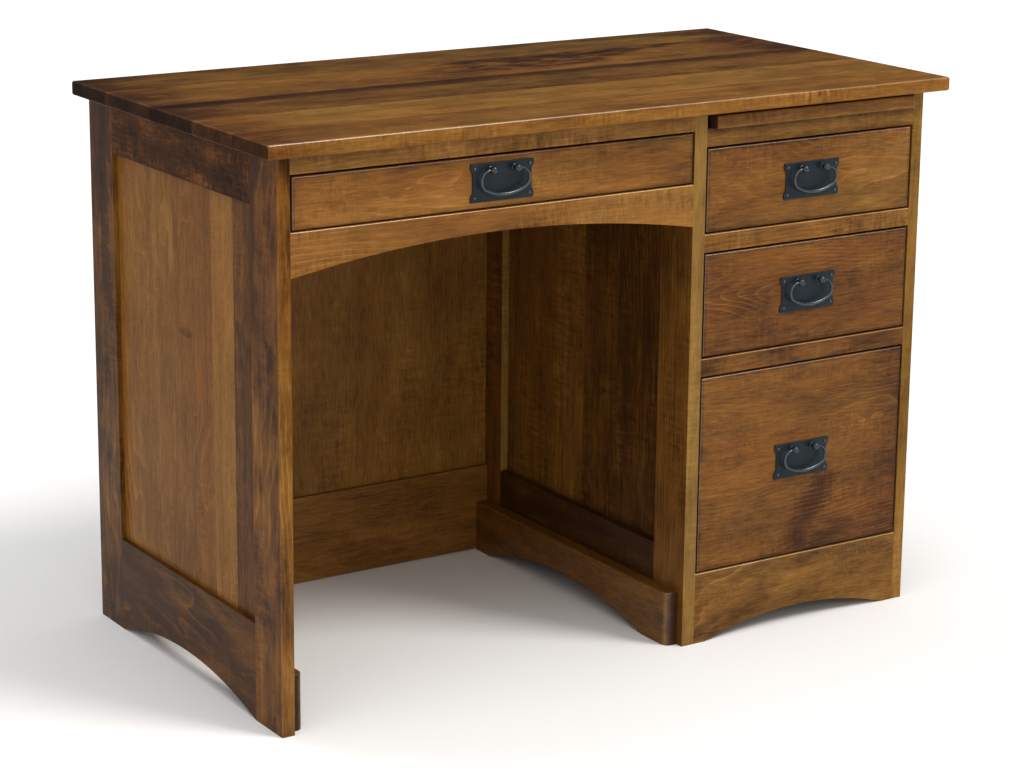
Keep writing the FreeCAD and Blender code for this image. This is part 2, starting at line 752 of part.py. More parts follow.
def file_rail_slot(side):
    return block(f"file_{side}_rail_slot", file_rail_span(side, "joint_clearance"), FILE_RAIL_Y,
                 (f"{FILE_BOX_TOP} - file_rail_sink", f"{FILE_BOX_TOP} + {OVERCUT}"))


def file_rail(side):
    return block(f"file_{side}_rail", file_rail_span(side, "0"), FILE_RAIL_Y,
                 (f"{FILE_BOX_TOP} - file_rail_sink", f"{FILE_BOX_TOP} + file_rail_stand"))


def bolt_hole(name, x, z):
    return rod(name, "Y", (x, f"face_y - {OVERCUT}", z), "bolt_hole_radius",
               f"front_thickness + box_board + 2 * {OVERCUT}")


def drawer_front(name, drawer, pulls):
    """A front that lies flush in its opening, with its front edges rounded."""
    body = doc.addObject("PartDesign::Body", name + "_front_body")
    sketch = new_sketch(body, name + "_front_face", "XZ_Plane")
    width = f"{drawer['right']} - {drawer['left']} - 2 * drawer_gap"
    height = f"{name}_top - {name}_bottom"
    outline(sketch, [("0", "0"), (width, "0"), (width, height), ("0", height)])
    board = pad(body, sketch, "front_thickness", reverse=True)
    dress(body, "Fillet", board, Radius="front_round",
          wanted=lambda at, box: near(box.YMax, 0) and near(box.YMin, 0))
    put(body, f"{drawer['left']} + drawer_gap", "face_y", f"{name}_bottom")
    holes = [bolt_hole(name + "_front_hole", x, z) for x, z in pulls]
    node(f"{name}_drawer_front", cut(name + "_front_drilled", body, holes))


def slide_member(name, wall, inward, gaps, depth, length, half, web_first):
    """A channel of one slide: a web and two flanges, gaps being its span measured from the case wall."""
    outer = block(name + "_bar", off_wall(wall, inward, *gaps), length,
                  (f"{depth} - ({half})", f"{depth} + ({half})"))
    hollow = (f"{gaps[0]} + slide_wall", f"{gaps[1]} + {OVERCUT}")
    if not web_first:
        hollow = (f"{gaps[0]} - {OVERCUT}", f"{gaps[1]} - slide_wall")
    y = (f"{length[0]} - {OVERCUT}", f"{length[1]} + {OVERCUT}")
    room = block(name + "_room", off_wall(wall, inward, *hollow), y,
                 (f"{depth} - ({half}) + slide_wall", f"{depth} + ({half}) - slide_wall"))
    return cut(name, outer, [room])


SLIDE_MEMBERS = {
    "case": (("0", "slide_width - 4 * slide_wall"), "slide_height / 2", True),
    "middle": (("slide_wall + slide_clearance", "slide_width - 2 * slide_wall"),
               "slide_height / 2 - slide_wall - slide_clearance", True),
    "drawer": (("2 * slide_wall + 2 * slide_clearance", "slide_width"),
               "slide_height / 2 - 2 * slide_wall - 2 * slide_clearance", False),
}
case_members = []


def drawer_slides(name, drawer):
    """A pair of three-member slides: case member, middle member and drawer member, nested in one another."""
    axis = f"({name}_bottom + slide_rise)"
    for member, (gaps, half, web_first) in SLIDE_MEMBERS.items():
        pair = [slide_member(f"{name}_{member}_{side}_slide", drawer[side], inward, gaps, axis,
                             ("slide_start", "box_back"), half, web_first)
                for side, inward in (("left", 1), ("right", -1))]
        if member == "case":
            case_members.extend(pair)
        else:
            node(f"{name}_slide_{member}_members", group(f"{name}_{member}_pair", pair))


# Pulls: a plate with flared corners and rivet heads, two posts, and a bail that swings in them


def pull_center(name, drawer):
    return f"(({drawer['left']} + {drawer['right']}) / 2)", f"(({name}_bottom + {name}_top) / 2)"


def post_spots(name, drawer):
    x, z = pull_center(name, drawer)
    return [(f"{x} + {side} * post_spacing / 2", f"{z} + post_lift") for side in (-1, 1)]


def pull_plate(name, drawer):
    """The plate's outline starts at its lower left corner; its sides are drawn in between the ears."""
    body = doc.addObject("PartDesign::Body", name + "_plate_body")
    sketch = new_sketch(body, name + "_plate_face", "XZ_Plane")
    waist_low = "plate_ear + plate_ear_slope"
    waist_high = "plate_height - plate_ear - plate_ear_slope"
    ear_high = "plate_height - plate_ear"
    right_waist = "plate_width - plate_waist"
    outline(sketch, [("0", "0"), ("plate_width", "0"), ("plate_width", "plate_ear"), (right_waist, waist_low),
                     (right_waist, waist_high), ("plate_width", ear_high), ("plate_width", "plate_height"),
                     ("0", "plate_height"), ("0", ear_high), ("plate_waist", waist_high),
                     ("plate_waist", waist_low), ("0", "plate_ear")])
    for side in (-1, 1):
        circle(sketch, f"plate_width / 2 + {side} * post_spacing / 2", "plate_height / 2 + post_lift",
               "bolt_hole_radius")
    blank = pad(body, sketch, "plate_thickness")
    front = number("-plate_thickness")
    hole = number("2 * bolt_hole_radius")
    middle = number("plate_width / 2")
    bolts_end = number("post_spacing / 2 + bolt_hole_radius")
    plate = dress(body, "Fillet", blank, Radius="plate_corner_round",
                  wanted=lambda at, box: near(at.y, front / 2) and abs(at.x - middle) > bolts_end)
    dress(body, "Chamfer", plate, Size="plate_bevel",
          wanted=lambda at, box: near(at.y, front) and near(box.YLength, 0) and not near(box.XLength, hole))
    x, z = pull_center(name, drawer)
    put(body, f"{x} - plate_width / 2", "face_y", f"{z} - plate_height / 2")
    rivets = []
    for across in (-1, 1):
        for up in (-1, 1):
            rivet = doc.addObject("Part::Sphere", name + "_rivet")
            rivet.Angle1 = 0
            rivet.Placement.Rotation = FreeCAD.Rotation(FreeCAD.Vector(1, 0, 0), 90)
            tie(rivet, Radius="rivet_radius")
            put(rivet, f"{x} + {across} * (plate_width / 2 - rivet_inset)", "plate_front + plate_bevel",
                f"{z} + {up} * (plate_height / 2 - rivet_inset)")
            rivets.append(rivet)
    node(f"{name}_pull_plate", fuse(name + "_plate", [body] + rivets))


def pull_posts(name, drawer):
    """Each post is a bolt through the front with a round head, bored for the bail, and a nut inside."""
    pieces = []
    nut_y = "(box_front + box_board)"
    for x, z in post_spots(name, drawer):
        bolt = rod(name + "_bolt", "Y", (x, "plate_front", z), "bolt_radius",
                   f"{nut_y} + bolt_tail - plate_front")
        stem = rod(name + "_stem", "Y", (x, "pivot_y", z), "post_stem_radius", "post_reach")
        head = doc.addObject("Part::Sphere", name + "_head")
        tie(head, Radius="post_head_radius")
        put(head, x, "pivot_y", z)
        bore = rod(name + "_bore", "X", (f"{x} - post_head_radius - {OVERCUT}", "pivot_y", z),
                   "bail_tip_radius + bail_pin_clearance", f"2 * post_head_radius + 2 * {OVERCUT}")
        pieces.append(cut(name + "_post", fuse(name + "_post_blank", [bolt, stem, head]), [bore]))
        nut = doc.addObject("Part::Prism", name + "_nut_blank")
        nut.Polygon = NUT_SIDE_COUNT
        nut.Placement.Rotation = TURN_TO["Y"]
        tie(nut, Circumradius="nut_radius", Height="nut_height")
        put(nut, x, nut_y, z)
        thread = rod(name + "_nut_bore", "Y", (x, f"{nut_y} - {OVERCUT}", z), "bolt_hole_radius",
                     f"nut_height + 2 * {OVERCUT}")
        pieces.append(cut(name + "_nut", nut, [thread]))
    node(f"{name}_pull_posts", group(name + "_posts_and_nuts", pieces))


def bail_path():
    """Half of the bail's centre line in x and z, from its tip to the middle of the grip, as edges."""
    width = number("bail_half_width")
    shoulder = number("bail_shoulder")
    widest = -number("bail_widest_drop")
    corner = number("bail_corner_radius")
    grip = -number("bail_drop")
    height = widest - grip
    flat = ((width - corner) ** 2 + height ** 2 - corner ** 2) / (2 * (height - corner))
    turn = math.atan2(flat - height, width - corner)
    spot = FreeCAD.Vector
    corner_center = spot(width - corner, 0, widest)
    flat_center = spot(0, 0, grip + flat)
    meet = corner_center + spot(math.cos(turn), 0, -math.sin(turn)) * corner
    half_turn = corner_center + spot(math.cos(turn / 2), 0, -math.sin(turn / 2)) * corner
    slope = (math.pi / 2 + turn) / 2
    low_point = flat_center + spot(math.cos(slope), 0, -math.sin(slope)) * flat
    quarter = math.sqrt(0.5) * shoulder
    shoulder_start = spot(width - shoulder, 0, 0)
    shoulder_middle = spot(width - shoulder + quarter, 0, quarter - shoulder)
    tip = spot(number("post_spacing / 2 - bail_tip_reach"), 0, 0)
    return [
        Part.LineSegment(tip, shoulder_start),
        Part.Arc(shoulder_start, shoulder_middle, spot(width, 0, -shoulder)),
        Part.LineSegment(spot(width, 0, -shoulder), spot(width, 0, widest)),
        Part.Arc(spot(width, 0, widest), half_turn, meet),
        Part.Arc(meet, low_point, spot(0, 0, grip)),
    ]


def bail_half(mirrored):
    """One tapered half of the bail, thin in the post and thick at the grip."""
    edges = [curve.toShape() for curve in bail_path()]
    spine = Part.Wire(edges)
    tip, widest, grip = (number(f"bail_{place}_radius") for place in ("tip", "side", "grip"))
    spot = FreeCAD.Vector
    sections = (
        (edges[0].valueAt(edges[0].FirstParameter), spot(1, 0, 0), tip),
        (edges[0].valueAt(edges[0].LastParameter), spot(1, 0, 0), tip),
        (edges[2].valueAt(edges[2].LastParameter), spot(0, 0, -1), widest),
        (edges[4].valueAt(edges[4].LastParameter), spot(-1, 0, 0), grip),
    )
    shell = Part.BRepOffsetAPI.MakePipeShell(spine)
    for at, heading, radius in sections:
        shell.add(Part.Wire(Part.makeCircle(radius, at, heading)))
    shell.build()
    shell.makeSolid()
    half = shell.shape()
    return half.mirror(FreeCAD.Vector(), FreeCAD.Vector(1, 0, 0)) if mirrored else half


def bail(name, drawer):
    x, z = pull_center(name, drawer)
    piece = doc.addObject("Part::Feature", name + "_bail")
    piece.Shape = bail_half(False).fuse(bail_half(True)).removeSplitter()
    put(piece, x, "pivot_y", f"{z} + post_lift")
    node(f"{name}_bail", piece)


for name, drawer in DRAWERS.items():
    bolts = post_spots(name, drawer)
    drawer_front(name, drawer, bolts)
    drawer_box(name, drawer, bolts)
    drawer_slides(name, drawer)
    pull_plate(name, drawer)
    pull_posts(name, drawer)
    bail(name, drawer)
node("slide_case_members", group("slide_case_set", case_members))

node("file_rails", group("file_rail_pair", [file_rail(side) for side in ("left", "right")]))


# Checks and files

doc.recompute()
faults = [thing.Name for thing in doc.Objects if {"Invalid", "Error"} & set(thing.State)]
faults += [piece.Label for piece in nodes if piece.Shape.isNull() or not piece.Shape.isValid()]
if faults:
    raise RuntimeError("not built: " + ", ".join(faults))
os.makedirs("parts", exist_ok=True)
for piece in nodes:
    piece.Shape.exportStep(f"parts/{piece.Label}.step")
    print(piece.Label, len(piece.Shape.Solids), "solids")
print(len(nodes), "sub-parts")
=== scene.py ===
# %% [markdown]
# # A pedestal desk in stained maple
# The desk is loaded as a frame of finished joinery: every rail, stile, panel and drawer is already cut
# to size and in its place. What is left for Blender is what a finishing room and a blacksmith would
# add: the brown stain on the maple, the lacquer over it, pale drawer boxes, plated slides and
# hand-forged pulls.

# %% Load the joinery
import json
import math

import bmesh
import bpy
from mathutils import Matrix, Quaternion, Vector


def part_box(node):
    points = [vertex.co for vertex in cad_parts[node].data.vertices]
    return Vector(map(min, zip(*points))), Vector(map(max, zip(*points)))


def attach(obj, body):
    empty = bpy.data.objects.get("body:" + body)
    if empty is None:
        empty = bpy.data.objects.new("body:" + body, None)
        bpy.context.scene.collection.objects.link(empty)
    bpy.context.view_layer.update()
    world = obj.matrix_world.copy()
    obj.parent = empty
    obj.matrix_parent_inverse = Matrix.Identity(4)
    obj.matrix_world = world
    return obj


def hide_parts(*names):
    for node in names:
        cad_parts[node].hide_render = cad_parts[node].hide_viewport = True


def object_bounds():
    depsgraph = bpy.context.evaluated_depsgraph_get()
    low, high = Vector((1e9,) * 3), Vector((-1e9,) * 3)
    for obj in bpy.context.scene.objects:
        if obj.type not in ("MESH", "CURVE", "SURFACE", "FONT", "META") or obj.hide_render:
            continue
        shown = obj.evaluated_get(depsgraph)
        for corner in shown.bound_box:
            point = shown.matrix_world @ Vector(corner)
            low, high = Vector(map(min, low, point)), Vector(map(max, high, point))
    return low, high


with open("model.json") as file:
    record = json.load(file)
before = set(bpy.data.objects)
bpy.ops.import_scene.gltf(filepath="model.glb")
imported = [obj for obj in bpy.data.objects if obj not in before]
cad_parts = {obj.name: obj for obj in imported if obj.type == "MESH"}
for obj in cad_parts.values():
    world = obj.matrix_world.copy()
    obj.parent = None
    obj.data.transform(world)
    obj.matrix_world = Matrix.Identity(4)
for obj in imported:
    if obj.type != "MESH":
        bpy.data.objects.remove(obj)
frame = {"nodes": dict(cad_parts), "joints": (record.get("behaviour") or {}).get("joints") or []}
cad_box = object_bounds()
bpy.ops.object.select_all(action="DESELECT")
DRAWERS = ("center", "upper", "middle", "file")

# %% [markdown]
# ## The camera
# The picture was taken from the front left, a little above the desktop, with a long lens: the verticals
# stay almost upright. The eye, the point it looks at and the lens were solved from the desk's own
# corners. A small shift of the lens keeps the desk where it sits in the picture without tilting the
# camera.

# %% Camera
EYE = Vector((-2.0402, -3.1218, 1.3487))
LOOKS_AT = Vector((-0.0045, 0.0, 0.4182))
ROLL = math.radians(0.61)
FOCAL_LENGTH = 97.05
PICTURE_WIDTH = 1024
SHIFT_PIXELS = -60

bpy.ops.object.camera_add(location=EYE)
camera = bpy.context.object
camera.name = "picture_camera"
camera.rotation_mode = "QUATERNION"
camera.rotation_quaternion = (LOOKS_AT - EYE).to_track_quat("-Z", "Y") @ Quaternion((0, 0, 1), ROLL)
camera.data.lens = FOCAL_LENGTH
camera.data.shift_y = SHIFT_PIXELS / PICTURE_WIDTH
bpy.context.scene.camera = camera
print("camera stands", round((LOOKS_AT - EYE).length, 2), "m from the desk")

# %% [markdown]
# ## Arithmetic for finishes
# A finish is a recipe: some of this pattern, plus a little of that one, darker near the edge. Written
# as nodes and links it is hard to read, so one small class wraps a socket and lets patterns be added
# and multiplied like numbers. Its one method for all other nodes takes the kind of node, its settings
# and what goes into its sockets. Smooth rises, mixed colours and bumps are needed so often that they
# have short methods of their own.


# %% A socket that can be used in a sum
class Wire:
    """A socket of a node tree. Arithmetic on it adds Math nodes."""

    def __init__(self, tree, socket=None):
        self.tree = tree
        self.socket = socket

    def node(self, kind, settings=None, sockets=None, output=0):
        """Adds a node: its settings come first, then the values or links of its sockets."""
        made = self.tree.nodes.new(kind)
        for name, value in (settings or {}).items():
            if name == "stops":
                place_stops(made.color_ramp, value)
            elif name == "blending":
                made.color_ramp.interpolation = value
            else:
                setattr(made, name, value)
        for key, value in (sockets or {}).items():
            if isinstance(value, Wire):
                self.tree.links.new(value.socket, made.inputs[key])
            else:
                made.inputs[key].default_value = value
        return Wire(self.tree, made.outputs[output])

    def math(self, operation, first, second=0.0):
        return self.node("ShaderNodeMath", {"operation": operation}, {0: first, 1: second})

    def __add__(self, other):
        return self.math("ADD", self, other)

    def __sub__(self, other):
        return self.math("SUBTRACT", self, other)

    def __rsub__(self, other):
        return self.math("SUBTRACT", other, self)

    def __mul__(self, other):
        return self.math("MULTIPLY", self, other)

    def __pow__(self, other):
        return self.math("POWER", self, other)

    def __abs__(self):
        return self.math("ABSOLUTE", self)

    __radd__ = __add__
    __rmul__ = __mul__

    def least(self, other):
        return self.math("MINIMUM", self, other)

    def rise(self, low, high):
        """0 below low, 1 above high, and a smooth rise between them."""
        limits = {"Value": self, "From Min": low, "From Max": high}
        return self.node("ShaderNodeMapRange", {"interpolation_type": "SMOOTHSTEP"}, limits)

    def mix(self, amount, first, second, blending="MIX"):
        """A colour between two others, or both blended another way."""
        settings = {"data_type": "RGBA", "blend_type": blending}
        return self.node("ShaderNodeMix", settings, {0: amount, 6: first, 7: second}, output=2)

    def bump(self, height, strength, depth):
        """The lean of a surface that stands up by a depth, in metres, where the height rises by 1."""
        sockets = {"Strength": strength, "Distance": depth, "Height": height}
        return self.node("ShaderNodeBump", None, sockets)


def place_stops(ramp, stops):
    """Gives a colour ramp its stops, as (place, colour) pairs."""
    while len(ramp.elements) > 1:
        ramp.elements.remove(ramp.elements[-1])
    ramp.elements[0].position = stops[0][0]
    for place, _ in stops[1:]:
        ramp.elements.new(place)
    for element, (_, colour) in zip(ramp.elements, stops):
        element.color = (*colour, 1.0)


# %% Finishes on pieces
def new_finish(name):
    """An empty material: a wire to start from, and its shader."""
    material = bpy.data.materials.new(name)
    material.use_nodes = True
    return material, Wire(material.node_tree), material.node_tree.nodes["Principled BSDF"]


def feed(shader, **sockets):
    """Links or sets the shader's sockets. An underscore in a name stands for a space."""
    for name, value in sockets.items():
        socket = shader.inputs[name.replace("_", " ")]
        if isinstance(value, Wire):
            value.tree.links.new(value.socket, socket)
        else:
            socket.default_value = value


def dress(material, *nodes):
    """Puts a finish on CAD pieces."""
    for name in nodes:
        slots = frame["nodes"][name].data.materials
        slots.clear()
        slots.append(material)


# %% [markdown]
# ## Floor and light
# A studio floor is a plain pale sheet. The light is a soft key from high on the right, a broad low fill
# from the front, one from the left, a soft one overhead and a weak one from behind so that the back can
# be looked at too. Sun lamps with a wide angle act like very large soft boxes: they light the floor
# evenly and give soft shadows. The sky of the studio is dim near the horizon, so that the desktop
# doesn't mirror a bright wall, and brighter overhead.

# %% Lamps
LAMP_DISTANCE = 4.0


def soft_lamp(name, azimuth, height, strength, spread, tint):
    """A wide soft light, named by the direction that it comes from, in degrees."""
    turn, rise = math.radians(azimuth), math.radians(height)
    source = Vector((math.sin(turn) * math.cos(rise), -math.cos(turn) * math.cos(rise), math.sin(rise)))
    bpy.ops.object.light_add(type="SUN", location=source * LAMP_DISTANCE)
    lamp = bpy.context.object
    lamp.name = name
    lamp.rotation_euler = source.to_track_quat("Z", "Y").to_euler()
    lamp.data.energy = strength
    lamp.data.angle = math.radians(spread)
    lamp.data.color = tint


soft_lamp("key_light", azimuth=40, height=48, strength=2.0, spread=20, tint=(1.0, 0.97, 0.93))
soft_lamp("front_light", azimuth=5, height=14, strength=1.05, spread=60, tint=(1.0, 0.97, 0.93))
soft_lamp("left_light", azimuth=-66, height=34, strength=1.15, spread=70, tint=(1.0, 0.98, 0.95))
soft_lamp("top_light", azimuth=60, height=80, strength=0.75, spread=60, tint=(1.0, 0.99, 0.97))
soft_lamp("back_light", azimuth=205, height=60, strength=0.5, spread=30, tint=(0.95, 0.97, 1.0))
print("five soft lamps")

# %% Sky
SKY = [(0.0, (0.06, 0.062, 0.065)), (0.5, (0.12, 0.122, 0.125)), (1.0, (0.60, 0.61, 0.62))]

studio = bpy.data.worlds.new("studio")
bpy.context.scene.world = studio
studio.use_nodes = True
air = Wire(studio.node_tree)
direction = air.node("ShaderNodeTexCoord", output="Generated")
upward = air.node("ShaderNodeSeparateXYZ", None, {0: direction}, output="Z")
sky = air.node("ShaderNodeValToRGB", {"stops": SKY}, {0: upward})
studio.node_tree.links.new(sky.socket, studio.node_tree.nodes["Background"].inputs["Color"])
bpy.context.scene.view_settings.view_transform = "Standard"
print("sky of", len(SKY), "tones")

# %% Floor
FLOOR_SIZE = 60.0
PAPER_DIM, PAPER_BRIGHT = (0.80, 0.80, 0.80, 1.0), (0.84, 0.84, 0.84, 1.0)

bpy.ops.mesh.primitive_plane_add(size=FLOOR_SIZE, location=(0, 0, cad_box[0].z))
floor = bpy.context.object
floor.name = "studio_floor"

paper, start, shader = new_finish("pale_paper")
spot = start.node("ShaderNodeTexCoord", output="Object")
cloud = start.node("ShaderNodeTexNoise", None, {"Vector": spot, "Scale": 1.5, "Detail": 2.0})
tone = start.mix(cloud, PAPER_DIM, PAPER_BRIGHT)
feed(shader, Base_Color=tone, Roughness=0.9, Specular_IOR_Level=0.1)
floor.data.materials.append(paper)
print("floor at", round(cad_box[0].z, 4), "m")

# %% [markdown]
# ## Stained maple
# Maple is pale and close-grained. A brown wiping stain brings out what is hidden in it: growth rings
# where the saw ran flat, bars of curl across the grain, blotches where the wood drinks more, and fine
# dark fibres. The pattern is worked out in three dimensions from the board's own directions, so it runs
# round every edge as in solid wood. Each board says which way its grain runs and gets a part of the
# tree of its own. A ramp of five tones gives the stain from its darkest to its palest, and a second one
# turns it a little to red or to olive.

# %% Stain colours
STAIN = [
    (0.00, (0.010, 0.0036, 0.0014)),
    (0.25, (0.048, 0.0175, 0.0040)),
    (0.50, (0.160, 0.0640, 0.0105)),
    (0.75, (0.290, 0.1280, 0.0250)),
    (1.00, (0.450, 0.2350, 0.0700)),
]
HUES = [(0.0, (1.12, 0.90, 0.90)), (0.5, (1.0, 1.0, 1.0)), (1.0, (0.90, 1.13, 1.25))]
print("stain runs through", len(STAIN), "tones")

# %% [markdown]
# ## One board and its patterns
# Wide panels are glued up from narrower boards, called staves, and each stave comes from another tree:
# its tone, its warmth and its figure differ, and a fine line shows where two of them meet. A stepped
# colour ramp across the panel says which stave a point lies in. All other patterns are noise, stretched
# along the grain by different amounts. The direction that a surface faces also matters: end grain
# drinks more stain and dries darker, and the rounded edges are paler, partly because the stain is
# rubbed thin there and partly as a painted highlight.


# %% A board
AXIS = {"X": 0, "Y": 1, "Z": 2}
STAVE_STEP, STAVE_SHIFT = 0.37, 40.0
SWAY, SWELL = 0.012, 0.014
SEAM_LINE = (0.0004, 0.0018)
HIGHLIGHT_BELOW, HIGHLIGHT_ABOVE = (0.0006, 0.0018), (-0.0012, -0.0006)


class Board:
    """The wires of one board: along the grain, across the face and through the thickness, in metres."""

    def __init__(self, start, grain, across, seed, staves=()):
        through = ({"X", "Y", "Z"} - {grain, across}).pop()
        axes = [AXIS[name] for name in (grain, across, through)]
        self.start = start
        self.seed = seed
        self.xyz = self.split("Object")
        self.along, self.across, self.through = (self.xyz[i] for i in axes)
        faces = self.split("Normal")
        self.faces_along, self.faces_across, self.faces_through = (abs(faces[i]) for i in axes)
        self.faces_up = faces[AXIS["Z"]]
        self.lighter, self.cooler = 0.0, 0.5
        shifted = self.along
        if staves:
            self.lighter, shift, self.cooler = self.pick_stave(staves)
            shifted = self.along + shift * STAVE_SHIFT
        self.stick = start.node("ShaderNodeCombineXYZ", None, {0: shifted, 1: self.across, 2: self.through})

    def split(self, output):
        """The three parts of the place of a point, or of the direction that its surface faces."""
        vector = self.start.node("ShaderNodeTexCoord", output=output)
        return [self.start.node("ShaderNodeSeparateXYZ", None, {0: vector}, output=i) for i in range(3)]

    def pick_stave(self, staves):
        """The tone, the shift and the coolness of the stave that a point lies in."""
        first, last = staves[0][0], staves[-1][0]
        width = last - first
        stops = [((edge - first) / width, (0.5 + light, (STAVE_STEP * i) % 1.0, cool))
                 for i, (edge, light, cool) in enumerate(staves[:-1])]
        across = (self.across - first) * (1.0 / width)
        ramp = self.start.node("ShaderNodeValToRGB", {"blending": "CONSTANT", "stops": stops}, {0: across})
        parts = [self.start.node("ShaderNodeSeparateColor", None, {0: ramp}, output=i) for i in range(3)]
        return parts[0] - 0.5, parts[1], parts[2]

    def noise(self, along, across, seed=0.0, detail=2.0):
        """Noise with so many waves to the metre each way, from about -1 to 1."""
        shift = (self.seed * 3.7 + seed, self.seed * 1.3 + seed * 2.1, self.seed * 2.9 - seed)
        spot = self.start.node("ShaderNodeVectorMath", {"operation": "MULTIPLY_ADD"},
                               {0: self.stick, 1: (along, across, across), 2: shift})
        cloud = self.start.node("ShaderNodeTexNoise", None,
                                {"Vector": spot, "Scale": 1.0, "Detail": detail, "Roughness": 0.6})
        return (cloud - 0.5) * 3.0

    def rings(self, pith, tilt, count):
        """Growth rings about the heart of the tree: 0 to 1 through each ring, then sharply back."""
        sway = self.noise(2.5, 8.0, seed=11.0)
        swell = self.noise(4.5, 11.0, seed=23.0)
        side = self.across - pith[0] + sway * SWAY
        depth = self.through - pith[1] + self.along * tilt + swell * SWELL
        return self.start.math("FRACT", (side * side + depth * depth) ** 0.5 * count)

    def seam_lines(self, edges):
        """1 on a glue line between staves, 0 two millimetres away from it."""
        gap = abs(self.across - edges[0])
        for edge in edges[1:]:
            gap = gap.least(abs(self.across - edge))
        return 1.0 - gap.rise(*SEAM_LINE)

    def rim_glaze_and_shadow(self, box, reach):
        """1 at the rim of a board's face, 0 further in than the reach."""
        low, high = box
        rim = None
        for i, wire in enumerate(self.xyz):
            if wire is self.through:
                continue
            inside = (high[i] - low[i]) / 2 - abs(wire - (high[i] + low[i]) / 2)
            rim = inside if rim is None else rim.least(inside)
        ragged = self.noise(14.0, 30.0, seed=83.0) * reach * 0.4
        return 1.0 - (rim + ragged).rise(0.0, reach)

    def painted_highlight_line(self, place):
        """1 on a narrow line at a place across the board: a painted highlight along an edge."""
        below = place - self.across
        return (1.0 - below.rise(*HIGHLIGHT_BELOW)) * below.rise(*HIGHLIGHT_ABOVE)

    def end_grain(self):
        """1 where the surface is cut across the grain."""
        return self.faces_along.rise(0.55, 0.95)

    def arris(self):
        """1 on the rounded edge between a face and a side."""
        return (self.faces_through * (self.faces_across + self.faces_along) * 2.0).rise(0.25, 0.95)


# %% [markdown]
# ## The stain on a board
# One recipe serves every board, and its amounts are set for each. The tone says how dark it took the
# stain. Cloud, smudge, streak and fibre are its blotches and lines, from large to fine. Figure is for
# the growth rings, and curl and tick are for the bars across the grain. Cool turns the brown to olive.
# Rim, painted highlights and mark add a dark rim, pale painted highlight lines along the top edges of
# rails, and the marks of one board. The rim is glaze on the drawer fronts and a painted shadow on the
# writing board's rail. The edge amounts hold for its narrow sides; on the inner side they are also a
# painted highlight on the faces that look to the front. The rings make fine pale lines, because the
# dense late wood takes little stain.
# Lacquer levels the surface, so the bump is slight and the gloss is even, but end grain drinks it and
# stays dull. Shine, coat and floor sheen are the lacquer: a second coat lies on the rounded edges, and
# more coat is put low on the left end and the base boards as a painted sheen, where it mirrors the
# pale floor.


# %% The stain
# How pale the painted highlight lines are, and how pale the rounded edges: rubbed stain and a painted
# highlight.
HIGHLIGHT_PALE, ARRIS_PALE = 0.22, 0.08
RIM_DARK, END_DARK = 0.16, 0.26
MARK_REDDENS = 1.4
SATIN, END_DULL = 0.38, 0.34
FLOOR_SHEEN_TOP = 0.5


